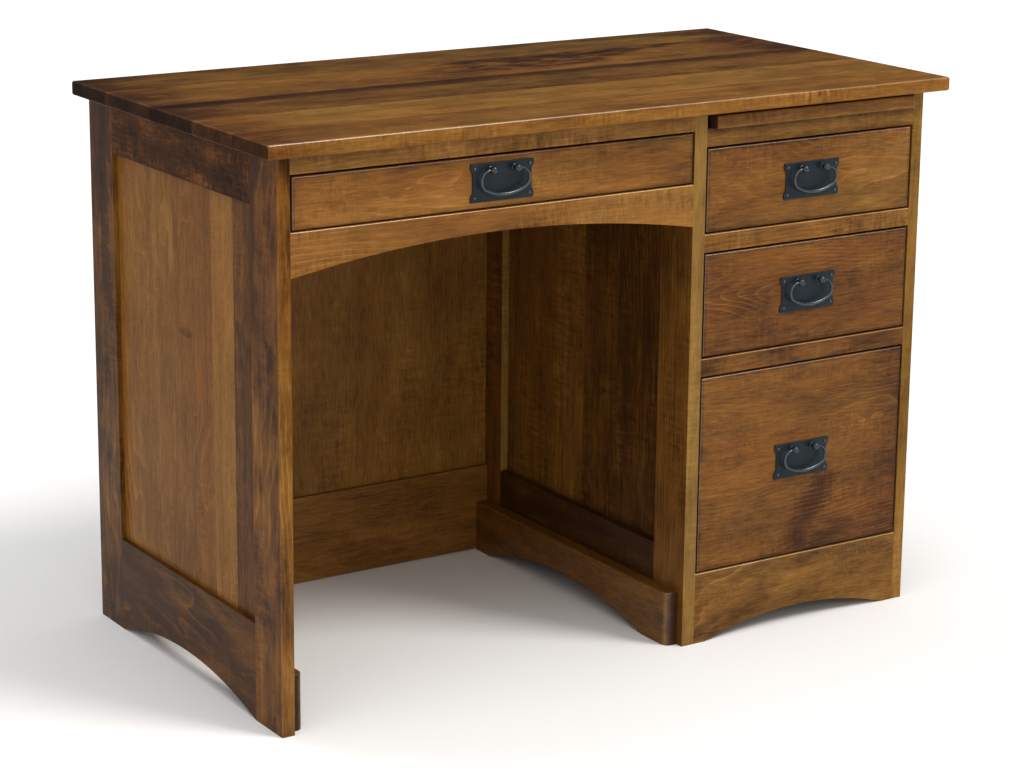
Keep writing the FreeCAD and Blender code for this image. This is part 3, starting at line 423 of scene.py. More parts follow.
def maple(name, grain, across, seed, tone=0.5, staves=(), pith=(0.0, 0.06), tilt=0.05, rings=150,
          figure=0.20, curl=0.06, cloud=0.12, smudge=0.10, streak=0.06, fibre=0.15, tick=0.09, cool=0.0,
          seam=0.12, rim=None, reach=0.006, painted_highlights=(), edge=0.0, edge_hue=0.0, edge_curl=0.0, shine=0.12,
          coat=0.7, floor_sheen=0.0, mark=None):
    """Stained and lacquered maple for a board, from the axes along its grain and across its face."""
    material, start, shader = new_finish(name)
    board = Board(start, grain, across, seed, staves)
    shows = board.noise(3.0, 9.0, seed=31.0).rise(-0.3, 0.7)
    lines = board.rings(pith, tilt, rings) ** 5.0 * shows
    clouds = board.noise(3.5, 12.0, seed=41.0, detail=3.0)
    smudges = board.noise(11.0, 28.0, seed=47.0, detail=4.0)
    streaks = board.noise(4.0, 90.0, seed=53.0, detail=3.0)
    fibres = board.noise(45.0, 420.0, seed=61.0, detail=3.0)
    curled = board.noise(6.0, 16.0, seed=73.0).rise(-0.5, 0.8)
    bars = board.noise(150.0, 26.0, seed=71.0, detail=3.0) * curled
    ticks = board.noise(420.0, 110.0, seed=79.0, detail=1.0) * curled

    value = (tone + clouds * cloud + smudges * smudge + streaks * streak + fibres * fibre
             + (lines - 0.15) * figure + bars * curl + ticks * tick + board.lighter)
    if len(staves) > 2:
        value = value - board.seam_lines([place for place, _, _ in staves[1:-1]]) * seam
    # Painted highlights: pale lines where the top edge of a rail would catch the light.
    for height in painted_highlights:
        value = value + board.painted_highlight_line(height) * HIGHLIGHT_PALE
    if rim:
        # A dark rim: glaze on the drawer fronts, a painted shadow on the writing board's rail.
        value = value - board.rim_glaze_and_shadow(rim, reach) * RIM_DARK
    hue = board.noise(2.5, 10.0, seed=91.0) * 0.22 + board.cooler + cool
    if mark:
        dark = mark(board)
        value = value - dark
        hue = hue - dark * MARK_REDDENS
    edges = board.arris()
    ends = board.end_grain()
    sides = board.faces_across.rise(0.6, 0.9)
    # Rounded edges are paler: partly stain rubbed thin, partly a painted highlight.
    value = value - ends * END_DARK + sides * (bars * edge_curl + edge) + edges * ARRIS_PALE
    hue = hue + sides * edge_hue
    brown = start.node("ShaderNodeValToRGB", {"stops": STAIN}, {0: value})
    warmth = start.node("ShaderNodeValToRGB", {"stops": HUES}, {0: hue})
    colour = start.mix(1.0, brown, warmth, "MULTIPLY")
    rough = SATIN + streaks * 0.03 + fibres * 0.03 + ends * END_DULL
    lacquer = edges * board.faces_up.rise(-0.3, 0.1) * coat
    # More coat low down is a painted sheen: it puts the reflection of the pale floor on the lower part.
    if floor_sheen:
        lacquer = lacquer + (1.0 - board.xyz[AXIS["Z"]].rise(0.0, FLOOR_SHEEN_TOP)) * floor_sheen
    bump = start.bump(fibres + streaks, strength=0.10, depth=0.0003)
    feed(shader, Base_Color=colour, Roughness=rough, Normal=bump, Specular_IOR_Level=shine,
         Coat_Weight=lacquer, Coat_Roughness=0.24, Coat_IOR=1.8)
    return material


# %% [markdown]
# ## Desktop
# The top is glued up from five boards. A dark mineral vein runs the whole length, a little behind the
# middle, with a sharp edge to the back and a soft one to the front. Behind it lies a wedge of dark
# reddish flecks, which narrows to the right. The left end, and the right one behind the middle, have
# taken more stain. These are marks of this one tree, so they are drawn at their places, with noise to
# fray them.

# %% Desktop
VEIN_PLACE = 0.034
VEIN_FRONT, VEIN_BACK = (-0.034, -0.008), (0.002, 0.010)
PATCH_START, PATCH_END = -0.04, 0.43
PATCH_BACK, PATCH_TAPER = 0.174, 0.38
LEFT_STAIN, RIGHT_STAIN = (-0.56, -0.40), (0.38, 0.52)
VEIN_DARK, PATCH_DARK, LEFT_DARK, RIGHT_DARK = 0.22, 0.40, 0.20, 0.28
# Each stave: where it starts across the board, how much paler it is, and how cool. The last row only
# ends the board.
TOP_STAVES = [(-0.279, 0.02, 0.40), (-0.190, 0.07, 0.60), (-0.079, -0.08, 0.50), (0.031, -0.02, 0.45),
              (0.174, -0.08, 0.58), (0.279, 0, 0)]


def top_marks(board):
    """How much darker the marks of the desktop are than the boards round them."""
    behind = board.across - VEIN_PLACE + board.noise(3.0, 2.0, seed=97.0) * 0.003
    vein = behind.rise(*VEIN_FRONT) * (1.0 - behind.rise(*VEIN_BACK))
    vein = vein * (1.0 - board.along.rise(0.15, 0.40) * 0.3 + board.noise(5.0, 40.0, seed=99.0) * 0.25)
    frayed = board.along + board.noise(5.0, 14.0, seed=103.0, detail=3.0) * 0.05
    wedge = board.across - PATCH_BACK + (PATCH_END - frayed) * PATCH_TAPER
    flecks = board.noise(24.0, 85.0, seed=101.0, detail=4.0).rise(-0.6, 0.6)
    patch = (board.along.rise(PATCH_START - 0.08, PATCH_START + 0.08) * wedge.rise(-0.010, 0.015) * flecks
             * board.across.rise(VEIN_PLACE, VEIN_PLACE + 0.06)
             * (1.0 - board.across.rise(PATCH_BACK - 0.004, PATCH_BACK)))
    left = (1.0 - frayed.rise(*LEFT_STAIN)) * (1.0 - board.end_grain() * 0.6)
    right = frayed.rise(*RIGHT_STAIN) * board.across.rise(0.0, 0.06) * (flecks * 0.6 + 0.4)
    return vein * VEIN_DARK + patch * PATCH_DARK + left * LEFT_DARK + right * RIGHT_DARK


dress(maple("desktop_maple", "X", "Y", 4.0, tone=0.48, staves=TOP_STAVES, pith=(0.10, 0.68), tilt=0.04,
            figure=0.14, smudge=0.15, streak=0.10, cool=0.15, seam=0.20, edge=0.09, edge_curl=0.30,
            shine=0.06, coat=0.6, mark=top_marks), "desktop")
print("desktop of", len(TOP_STAVES) - 1, "boards")

# %% [markdown]
# ## Ends and pedestal side
# Each side is a frame of two stiles and two rails round a panel of staves. The frame is of wilder wood
# than the panel: golden where it took little stain, almost black where it drank. On the left end, the
# front stile has dark blots, the panel has a small knot, and one pale stave has short dark ticks across
# it.

# %% Marks of the left end
STILE_TOPS, FRONT_STILE = (0.52, 0.70), (-0.20, -0.15)
TOPS_DARK, BLOTS_DARK = 0.09, 0.15
KNOT_Y, KNOT_Z = 0.012, 0.467
KNOT_LENGTH, KNOT_HEIGHT = 0.020, 0.007
KNOT_DARK, TICKS_DARK = 0.14, 0.05


def stile_marks(board):
    """The darker tops of the stiles, and dark blots on the front one."""
    top = board.along.rise(*STILE_TOPS)
    front = 1.0 - board.across.rise(*FRONT_STILE)
    blots = board.noise(17.0, 34.0, seed=113.0, detail=4.0).rise(0.15, 0.75) * front
    return top * TOPS_DARK + blots * (1.0 - top) * BLOTS_DARK


def panel_marks(board):
    """The knot, and the ticks on the palest stave."""
    away = (board.across - KNOT_Y) * (1.0 / KNOT_LENGTH)
    rise = (board.along - KNOT_Z) * (1.0 / KNOT_HEIGHT)
    knot = 1.0 - (away * away + rise * rise + board.noise(60.0, 60.0, seed=105.0) * 0.4).rise(0.2, 1.3)
    ticks = board.noise(260.0, 50.0, seed=107.0, detail=1.0).rise(0.25, 0.7) * board.lighter.rise(0.05, 0.08)
    return knot * KNOT_DARK + ticks * TICKS_DARK


# %% Ends and pedestal side
END_STAVES = [(-0.200, -0.18, 0.42), (-0.125, 0.09, 0.62), (-0.064, 0.00, 0.5), (-0.010, -0.03, 0.46),
              (0.045, 0.01, 0.55), (0.108, 0.03, 0.52), (0.230, 0, 0)]
INNER_STAVES = [(-0.200, -0.18, 0.55), (-0.074, -0.13, 0.60), (0.011, 0.01, 0.65), (0.106, -0.03, 0.65),
                (0.230, 0, 0)]
STILE_STAVES = [(-0.28, 0.02, 0.45), (0.0, -0.05, 0.45), (0.28, 0, 0)]
INNER_STILES = [(-0.28, -0.08, 0.55), (0.0, -0.02, 0.45), (0.28, 0, 0)]
SIDES = {
    "left_end": {"seed": 1.0, "stile": 0.385, "top": 0.27, "bottom": 0.31, "panel": 0.53, "wild": 0.26,
                 "stiles": STILE_STAVES, "staves": END_STAVES, "edge": 0.08, "edge_hue": 0.15, "curl": 0.03,
                 "lacquer": {"shine": 0.035, "coat": 0.2, "floor_sheen": 0.14},
                 "stile_mark": stile_marks, "panel_mark": panel_marks},
    # On the inner side, the edge amount is partly a painted highlight: the narrow sides that face the front
    # are made paler as if lit.
    "inner_side": {"seed": 2.0, "stile": 0.49, "top": 0.34, "bottom": 0.24, "panel": 0.46, "wild": 0.13,
                   "stiles": INNER_STILES, "staves": INNER_STAVES, "edge": 0.18, "edge_hue": 0.55,
                   "curl": 0.20, "lacquer": {"shine": 0.13}, "stile_mark": None, "panel_mark": None},
    "right_end": {"seed": 3.0, "stile": 0.47, "top": 0.36, "bottom": 0.38, "panel": 0.53, "wild": 0.20,
                  "stiles": STILE_STAVES, "staves": END_STAVES, "edge": 0.06, "edge_hue": 0.45, "curl": 0.03,
                  "lacquer": {"shine": 0.06}, "stile_mark": None, "panel_mark": None},
}
for side, wood in SIDES.items():
    seed, lacquer = wood["seed"], wood["lacquer"]
    wild = {"cloud": 0.14, "smudge": wood["wild"], **lacquer}
    dress(maple(side + "_stile_maple", "Z", "Y", seed, tone=wood["stile"], staves=wood["stiles"], streak=0.09,
                fibre=0.11, curl=0.16, edge=wood["edge"], edge_hue=wood["edge_hue"],
                mark=wood["stile_mark"], **wild), side + "_stiles")
    dull = {**wild, "shine": lacquer["shine"] / 2}
    dress(maple(side + "_top_rail_maple", "Y", "Z", seed + 0.2, tone=wood["top"], curl=0.28, tick=0.20,
                cool=-0.2, **dull), side + "_top_rail")
    dress(maple(side + "_foot_rail_maple", "Y", "Z", seed + 0.4, tone=wood["bottom"], cloud=0.14, smudge=0.13,
                fibre=0.09, **lacquer), side + "_bottom_rail")
    dress(maple(side + "_panel_maple", "Z", "Y", seed + 0.6, tone=wood["panel"], staves=wood["staves"],
                cloud=0.09, smudge=0.08, streak=0.10, curl=wood["curl"], seam=0.03,
                mark=wood["panel_mark"], **lacquer), side + "_panel")
print(len(SIDES), "framed sides")

# %% [markdown]
# ## Rails, backs and base
# The rails of the face are narrow boards with bars of curl, lit like silk. The backs are plainer, and
# the boards round the foot of the kneehole are darker.

# %% Rails, backs and base
RAIL_STAVES = [(0.36, -0.11, 0.5), (0.48, 0.0, 0.5), (0.60, 0, 0)]
DRAWER_GAP = 0.0025


def paler(start, end, amount):
    """A mark that makes a board paler from one place along it to another."""
    return lambda board: board.along.rise(start, end) * -amount


# Where the painted highlight lines go: the top edge of the rail under each drawer front.
highlight_heights = {drawer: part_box(drawer + "_drawer_front")[0].z - DRAWER_GAP for drawer in DRAWERS}
dress(maple("knee_rail_maple", "X", "Z", 5.0, tone=0.60, smudge=0.26, curl=0.32, tick=0.12, cool=0.1),
      "kneehole_top_rail")
dress(maple("apron_maple", "X", "Z", 5.5, tone=0.54, smudge=0.14, curl=0.22, tick=0.18, fibre=0.11,
            painted_highlights=[highlight_heights["center"]], mark=paler(-0.15, 0.0, 0.11)), "kneehole_apron")
# Its dark rim is a painted shadow from the writing board above; it runs round the whole face of the rail.
dress(maple("writing_rail_maple", "X", "Z", 5.8, tone=0.55, smudge=0.16, curl=0.16, cool=0.15,
            rim=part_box("writing_board_rail"), reach=0.012), "writing_board_rail")
dress(maple("drawer_rail_maple", "X", "Z", 6.0, tone=0.51, staves=RAIL_STAVES, smudge=0.20, curl=0.22,
            tick=0.10, painted_highlights=[highlight_heights["upper"], highlight_heights["middle"]]), "drawer_rails")
dress(maple("base_rail_maple", "X", "Z", 6.5, tone=0.49, smudge=0.24, figure=0.30, cool=0.2,
            painted_highlights=[highlight_heights["file"]]), "pedestal_base_rail")
dress(maple("base_board_maple", "Y", "Z", 7.0, tone=0.45, smudge=0.14, cool=0.1, coat=0.3, floor_sheen=0.09),
      "kneehole_base_boards")
dress(maple("back_panel_maple", "Z", "X", 7.5, tone=0.51, figure=0.14, curl=0.10, cool=0.2), "modesty_panel",
      "pedestal_back_panel")
dress(maple("back_rail_maple", "X", "Z", 8.0, tone=0.52, cool=0.1), "back_rails")
dress(maple("writing_board_maple", "X", "Y", 8.5, tone=0.50, edge_curl=0.40, cool=0.1), "writing_board")
dress(maple("runner_maple", "Y", "Z", 8.7, tone=0.5), "writing_board_runners", "top_cleats")
print("rails, backs and base stained")

# %% [markdown]
# ## Drawer fronts
# The fronts are cut flat from the log, so the growth rings run out in long tongues and islands. Each
# front has its heart of the tree at another place behind it. Stain stays in the corner between a front
# and its rounded edge, so the rim is a little darker. The deep front has a dark smudge that slants down
# from its pull, and it is darker at its right side and lower corner.

# %% Drawer fronts
SMUDGE_TOP = Vector((0.357, 0.205))
SMUDGE_FOOT = Vector((0.307, 0.135))
SMUDGE_HALF, SMUDGE_FADE = (0.004, 0.030), 0.03
DARK_SIDE = (0.40, 0.50)
CORNER_LEFT, CORNER_TOP = (0.29, 0.38), (0.14, 0.24)
SMUDGE_DARK, SIDE_DARK, CORNER_DARK = 0.15, 0.10, 0.06


def deep_smudge(board):
    """The slanting dark smudge under the pull of the deep drawer, and its darker right side and corner."""
    length = (SMUDGE_FOOT - SMUDGE_TOP).length
    slope = (SMUDGE_FOOT - SMUDGE_TOP) / length
    right, down = board.along - SMUDGE_TOP.x, board.across - SMUDGE_TOP.y
    frayed = board.noise(20.0, 30.0, seed=109.0, detail=3.0) * 0.008
    beside = abs(right * slope.y - down * slope.x + frayed)
    below = right * slope.x + down * slope.y
    smudge = (1.0 - beside.rise(*SMUDGE_HALF)) * below.rise(-SMUDGE_FADE, 0.01)
    smudge = smudge * (1.0 - below.rise(length, length + SMUDGE_FADE))
    right_side = (board.along + frayed * 2.0).rise(*DARK_SIDE)
    corner = (board.along + frayed * 3.0).rise(*CORNER_LEFT)
    corner = corner * (1.0 - (board.across + frayed * 3.0).rise(*CORNER_TOP))
    return smudge * SMUDGE_DARK + right_side * SIDE_DARK + corner * CORNER_DARK


# Each front: its drawer, seed, tone, heart of the tree, tilt of the log, figure, coolness and mark.
FRONTS = [
    ("center", 9.0, 0.535, (0.690, -0.20), 0.06, 0.16, -0.05, None),
    ("upper", 10.0, 0.46, (0.625, -0.20), -0.09, 0.28, 0.0, paler(0.33, 0.43, 0.10)),
    ("middle", 11.0, 0.43, (0.480, -0.20), 0.16, 0.36, -0.20, paler(0.34, 0.48, 0.05)),
    ("file", 12.0, 0.475, (0.270, -0.20), -0.06, 0.32, 0.0, deep_smudge),
]
for drawer, seed, tone, pith, tilt, figure, cool, mark in FRONTS:
    node = drawer + "_drawer_front"
    dress(maple(drawer + "_front_maple", "X", "Z", seed, tone=tone, pith=pith, tilt=tilt, rings=200,
                figure=figure, cloud=0.16, smudge=0.11, curl=0.10, cool=cool, rim=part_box(node),
                mark=mark), node)
print(len(FRONTS), "drawer fronts stained")

# %% [markdown]
# ## Drawer boxes
# Inside, the boxes are clear maple under a thin lacquer, and the bottoms are plywood. The grain of a
# box runs along each of its four sides, so the pattern has to know which side a point is on: near the
# left or right wall the grain runs front to back, and elsewhere from side to side.

# %% Clear maple and plywood
PALE = [(0.0, (0.30, 0.180, 0.085)), (0.5, (0.52, 0.365, 0.205)), (1.0, (0.66, 0.510, 0.330))]
WALL, WALL_FADE = 0.0135, 0.0002
BOX_SEED, BOTTOM_SEED = 20.0, 30.0
PLY_SWAY, PLY_RIPPLES = 0.08, 190.0


def pale_wood(shader, board, wave, rough):
    """A clear finish on pale wood, from the amount of its pattern."""
    colour = board.start.node("ShaderNodeValToRGB", {"stops": PALE}, {0: wave})
    bump = board.start.bump(wave, strength=0.08, depth=0.0003)
    feed(shader, Base_Color=colour, Roughness=rough, Normal=bump, Specular_IOR_Level=0.3)


for number, drawer in enumerate(DRAWERS):
    low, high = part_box(drawer + "_drawer_box")
    middle, half = (low.x + high.x) / 2, (high.x - low.x) / 2
    material, start, shader = new_finish(drawer + "_clear_maple")
    board = Board(start, "Y", "Z", BOX_SEED + number)
    walls = abs(board.through - middle).rise(half - WALL - WALL_FADE, half - WALL + WALL_FADE)
    along = board.along * walls + board.through * (1.0 - walls)
    board.stick = start.node("ShaderNodeCombineXYZ", None, {0: along, 1: board.across, 2: walls})
    wave = (0.55 + board.noise(5.0, 26.0, seed=41.0, detail=3.0) * 0.16
            + board.noise(36.0, 420.0, seed=61.0) * 0.10 - board.faces_across * 0.06)
    pale_wood(shader, board, wave, 0.42 + board.noise(6.0, 60.0, seed=71.0) * 0.04)
    dress(material, drawer + "_drawer_box")

    material, start, shader = new_finish(drawer + "_plywood")
    board = Board(start, "X", "Y", BOTTOM_SEED + number)
    swayed = board.across + board.noise(2.5, 6.0, seed=23.0) * PLY_SWAY
    ripple = start.math("SINE", swayed * PLY_RIPPLES)
    wave = (0.62 + ripple * 0.06 + board.noise(3.0, 12.0, seed=41.0, detail=3.0) * 0.14
            + board.noise(40.0, 520.0, seed=61.0) * 0.07)
    pale_wood(shader, board, wave, 0.5 + ripple * 0.03)
    dress(material, drawer + "_drawer_bottom")
print(len(DRAWERS), "drawer boxes with plywood bottoms")

# %% [markdown]
# ## Plated steel
# Slides, file rails and screws are zinc-plated steel. Plating is bright but not a mirror: the strip was
# rolled lengthways before it was bent, so fine lines run along it, and the zinc has a faint bluish and
# yellowish bloom.

# %% Zinc plate
ZINC_BLUE, ZINC_YELLOW = (0.52, 0.53, 0.56, 1.0), (0.60, 0.59, 0.55, 1.0)

zinc, start, shader = new_finish("zinc_plate")
strip = Board(start, "Y", "Z", 40.0)
rolled = strip.noise(8.0, 900.0, seed=61.0)
bloom = strip.noise(12.0, 30.0, seed=41.0, detail=3.0).rise(-0.8, 0.8)
colour = start.mix(bloom, ZINC_BLUE, ZINC_YELLOW)
bump = start.bump(rolled, strength=0.06, depth=0.0002)
feed(shader, Base_Color=colour, Metallic=1.0, Roughness=0.36 + rolled * 0.06 + bloom * 0.05, Normal=bump)
dress(zinc, "slide_case_members", "file_rails", "desktop_screws")
for drawer in DRAWERS:
    dress(zinc, drawer + "_slide_middle_members", drawer + "_slide_drawer_members")
print("slides plated")

# %% [markdown]
# ## Blackened iron
# The pulls are forged and blackened in oil: almost black, a little blue, with a soft sheen on what
# hands rub. The scale from the fire leaves small soft dents, which are too shallow to model, so they
# are a bump.

# %% Blackened iron
COLD_SHEEN = (0.78, 0.92, 1.0, 1.0)


def blackened_iron(name, dark, pale, rough, level):
    """Oil-blackened iron between two tones, with its roughness and the strength of its sheen."""
    material, start, shader = new_finish(name)
    spot = start.node("ShaderNodeTexCoord", output="Object")
    mottle = start.node("ShaderNodeTexNoise", None, {"Vector": spot, "Scale": 160.0, "Detail": 3.0})
    dents = start.node("ShaderNodeTexNoise", None, {"Vector": spot, "Scale": 420.0, "Detail": 2.0})
    black = start.mix(mottle, (*dark, 1.0), (*pale, 1.0))
    bump = start.bump(dents + mottle, strength=0.12, depth=0.0004)
    feed(shader, Base_Color=black, Roughness=mottle * 0.2 + rough, Normal=bump, Specular_IOR_Level=level,
         Specular_Tint=COLD_SHEEN)
    return material


plate_iron = blackened_iron("blackened_iron", (0.0035, 0.0060, 0.0080), (0.0085, 0.0135, 0.0165), 0.32, 0.25)
post_iron = blackened_iron("post_iron", (0.006, 0.009, 0.012), (0.016, 0.021, 0.025), 0.20, 0.60)
rubbed_iron = blackened_iron("rubbed_iron", (0.006, 0.009, 0.012), (0.017, 0.022, 0.026), 0.15, 0.80)
print("iron blackened")

# %% [markdown]
# ## Pulls
# A pull is a plate, two posts and a swinging bail. All four are alike, so one is modelled with the axis
# of its bail at the origin and copied to each drawer. Small helpers pick faces, edges or points by
# their place, because an operator acts on what is selected.

# %% Helpers for modelling
MM = 0.001
NEAR, SAME_POINT = 0.1 * MM, 0.01 * MM
SMOOTH_ANGLE = math.radians(40)


def shape(piece):
    """Goes into edit mode on a piece that was just added, with its place and turn written into its mesh."""
    bpy.ops.object.transform_apply(location=True, rotation=True, scale=True)
    bpy.ops.object.mode_set(mode="EDIT")
    return piece


def pick(piece, kind, wanted):
    """Selects the points, edges or faces that pass a test, and nothing else."""
    bpy.ops.mesh.select_mode(type=kind)
    bpy.ops.mesh.select_all(action="DESELECT")
    mesh = bmesh.from_edit_mesh(piece.data)
    for item in {"VERT": mesh.verts, "EDGE": mesh.edges, "FACE": mesh.faces}[kind]:
        item.select_set(wanted(item))
    mesh.select_flush_mode()
    bmesh.update_edit_mesh(piece.data)


def close_up(piece, name, material):
    """Merges doubles, turns all faces outwards, leaves edit mode and smooths what is round."""
    bpy.ops.mesh.select_all(action="SELECT")
    bpy.ops.mesh.remove_doubles(threshold=SAME_POINT)
    bpy.ops.mesh.normals_make_consistent(inside=False)
    bpy.ops.object.mode_set(mode="OBJECT")
    bpy.ops.object.select_all(action="DESELECT")
    piece.select_set(True)
    bpy.context.view_layer.objects.active = piece
    bpy.ops.object.shade_smooth_by_angle(angle=SMOOTH_ANGLE)
    piece.name = name
    piece.data.materials.append(material)
    return piece


# %% [markdown]
# ## Plate
# The plate is cut from sheet. A flat face is bisected where its waist starts and ends, the points
# between are drawn in, and the face is extruded to the thickness of the sheet. Its corners are then
# rounded and its front edge filed. Each corner has a rivet with a low domed head: half of a flattened
# ball.

# %% Plate
PLATE_WIDTH, PLATE_HEIGHT, PLATE_THICKNESS = 95 * MM, 50 * MM, 2 * MM
WAIST, EAR, EAR_SLOPE = 3.5 * MM, 8 * MM, 4 * MM
POST_LIFT, POST_REACH = 16.5 * MM, 8 * MM
CORNER_ROUND, FILED_EDGE = 2.2 * MM, 0.9 * MM
plate_middle = Vector((0, POST_REACH + PLATE_THICKNESS, -POST_LIFT))
waist_half = PLATE_HEIGHT / 2 - EAR - EAR_SLOPE
ear_half = PLATE_HEIGHT / 2 - EAR

bpy.ops.mesh.primitive_plane_add(size=1, location=plate_middle, rotation=(math.pi / 2, 0, 0))
plate = bpy.context.object
plate.scale = (PLATE_WIDTH, PLATE_HEIGHT, 1)
shape(plate)
for height in (-ear_half, -waist_half, waist_half, ear_half):
    bpy.ops.mesh.select_all(action="SELECT")
    bpy.ops.mesh.bisect(plane_co=plate_middle + Vector((0, 0, height)), plane_no=(0, 0, 1))
pick(plate, "VERT", lambda point: abs(point.co.z + POST_LIFT) < waist_half + NEAR)
bpy.ops.transform.resize(value=(1 - 2 * WAIST / PLATE_WIDTH, 1, 1), center_override=plate_middle)
bpy.ops.mesh.select_all(action="SELECT")
bpy.ops.mesh.extrude_region_move(TRANSFORM_OT_translate={"value": (0, -PLATE_THICKNESS, 0)})
bpy.ops.mesh.select_all(action="SELECT")
bpy.ops.mesh.normals_make_consistent(inside=False)
bpy.ops.mesh.dissolve_limited(angle_limit=math.radians(1))
pick(plate, "EDGE", lambda edge: abs(edge.verts[0].co.y - edge.verts[1].co.y) > PLATE_THICKNESS / 2)
bpy.ops.mesh.bevel(offset=CORNER_ROUND, segments=4, affect="EDGES")
pick(plate, "EDGE", lambda edge: max(point.co.y for point in edge.verts) < POST_REACH + NEAR)
bpy.ops.mesh.bevel(offset=FILED_EDGE, segments=3, affect="EDGES")
close_up(plate, "pull_plate", plate_iron)
print("plate", [round(size / MM, 2) for size in plate.dimensions], "mm")

# %% Rivets
RIVET_RADIUS, RIVET_INSET, RIVET_SINK = 2.4 * MM, 6.5 * MM, 0.3 * MM
RIVET_FLATNESS = 0.7
corner = Vector((PLATE_WIDTH / 2 - RIVET_INSET, 0, PLATE_HEIGHT / 2 - RIVET_INSET))
seat = Vector((-corner.x, POST_REACH, -POST_LIFT - corner.z))
bpy.ops.mesh.primitive_uv_sphere_add(segments=20, ring_count=12, radius=RIVET_RADIUS, location=seat)
rivets = bpy.context.object
rivets.scale = (1, RIVET_FLATNESS, 1)
shape(rivets)
bpy.ops.mesh.select_all(action="SELECT")
bpy.ops.mesh.bisect(plane_co=seat + Vector((0, RIVET_SINK, 0)), plane_no=(0, 1, 0),
                    use_fill=True, clear_outer=True)
bpy.ops.mesh.select_all(action="SELECT")
bpy.ops.mesh.duplicate_move(TRANSFORM_OT_translate={"value": (2 * corner.x, 0, 0)})
bpy.ops.mesh.select_all(action="SELECT")
bpy.ops.mesh.duplicate_move(TRANSFORM_OT_translate={"value": (0, 0, 2 * corner.z)})
close_up(rivets, "pull_rivets", rubbed_iron)
plate.select_set(True)
bpy.context.view_layer.objects.active = plate
bpy.ops.object.join()
print("plate with four rivets:", len(plate.data.polygons), "faces")

# %% [markdown]
# ## Posts
# A post is turned: a bolt that goes through the plate and the drawer front, a low collar on the plate,
# a neck, and a ball that the bail swings in. It starts as a disc at the end of the bolt, and is drawn
# out ring by ring to the next place and the next radius, as on a lathe. A cutter drills the ball for
# the tip of the bail.

# %% Posts
POST_SPACING = 36 * MM
HEAD_RADIUS, NECK_RADIUS, HEAD_RINGS = 5.4 * MM, 3 * MM, 9
COLLAR_RADIUS, COLLAR_HEIGHT = 3.8 * MM, 0.5 * MM
BOLT_RADIUS, BOLT_END, BOLT_CHAMFER = 2 * MM, 46 * MM, 0.6 * MM
TIP_RADIUS, TIP_CLEARANCE = 1.5 * MM, 0.05 * MM
post_middle = Vector((-POST_SPACING / 2, 0, 0))


def ring_at(y, radius, old_radius, old_y):
    """Extrudes the selected ring along the post to a new place and radius."""
    bpy.ops.mesh.extrude_region_move(TRANSFORM_OT_translate={"value": (0, y - old_y, 0)})
    ratio = radius / old_radius
    bpy.ops.transform.resize(value=(ratio, 1, ratio), center_override=post_middle + Vector((0, y, 0)))


neck_angle = math.asin(NECK_RADIUS / HEAD_RADIUS)
steps = [neck_angle + (math.pi - neck_angle) * i / HEAD_RINGS for i in range(HEAD_RINGS)]
turned = [(BOLT_END, BOLT_RADIUS - BOLT_CHAMFER), (BOLT_END - BOLT_CHAMFER, BOLT_RADIUS),
          (POST_REACH, BOLT_RADIUS), (POST_REACH, COLLAR_RADIUS), (POST_REACH - COLLAR_HEIGHT, COLLAR_RADIUS),
          (POST_REACH - 2 * COLLAR_HEIGHT, NECK_RADIUS)]
turned += [(HEAD_RADIUS * math.cos(angle), HEAD_RADIUS * math.sin(angle)) for angle in steps]

bpy.ops.mesh.primitive_circle_add(vertices=24, radius=turned[0][1], fill_type="NGON",
                                  location=post_middle + Vector((0, BOLT_END, 0)),
                                  rotation=(math.pi / 2, 0, 0))
posts = shape(bpy.context.object)
bpy.ops.mesh.select_all(action="SELECT")
for (old_y, old_radius), (y, radius) in zip(turned, turned[1:]):
    ring_at(y, radius, old_radius, old_y)
close_up(posts, "pull_posts", post_iron)

bpy.ops.mesh.primitive_cylinder_add(vertices=20, radius=TIP_RADIUS + TIP_CLEARANCE, depth=3 * HEAD_RADIUS,
                                    location=post_middle, rotation=(0, math.pi / 2, 0))
drill = bpy.context.object
bore = posts.modifiers.new("bore", "BOOLEAN")
bore.object = drill
bpy.context.view_layer.objects.active = posts
bpy.ops.object.modifier_apply(modifier="bore")
bpy.data.objects.remove(drill)
print("post turned in", len(turned), "rings,", len(posts.data.polygons), "faces")

# %% [markdown]
# ## Nuts
# A nut holds each post behind the drawer's inner front, where it can be seen when the drawer is open.
# Its hole is made by an inset on both ends and a bridge between the two inner faces. Then the post with
# its nut is copied to the other side.

# %% Nuts
NUT_SEAT, NUT_HEIGHT, NUT_RADIUS = 41 * MM, 3 * MM, 4 * MM
NUT_CHAMFER, NUT_PLAY = 0.4 * MM, 0.05 * MM
axis_to_flat = NUT_RADIUS * math.cos(math.pi / 6)

bpy.ops.mesh.primitive_cylinder_add(vertices=6, radius=NUT_RADIUS, depth=NUT_HEIGHT,
                                    location=post_middle + Vector((0, NUT_SEAT + NUT_HEIGHT / 2, 0)),
                                    rotation=(math.pi / 2, 0, 0))
nut = shape(bpy.context.object)
pick(nut, "FACE", lambda face: abs(face.normal.y) > 0.9)
bpy.ops.mesh.bevel(offset=NUT_CHAMFER, segments=2, affect="EDGES")
pick(nut, "FACE", lambda face: abs(face.normal.y) > 0.99)
bpy.ops.mesh.inset(thickness=axis_to_flat - NUT_CHAMFER - BOLT_RADIUS - NUT_PLAY)
bpy.ops.mesh.bridge_edge_loops()
close_up(nut, "pull_nut", post_iron)
posts.select_set(True)
bpy.context.view_layer.objects.active = posts
bpy.ops.object.join()
bpy.ops.object.mode_set(mode="EDIT")
bpy.ops.mesh.select_all(action="SELECT")
bpy.ops.mesh.duplicate_move(TRANSFORM_OT_translate={"value": (POST_SPACING, 0, 0)})
bpy.ops.object.mode_set(mode="OBJECT")
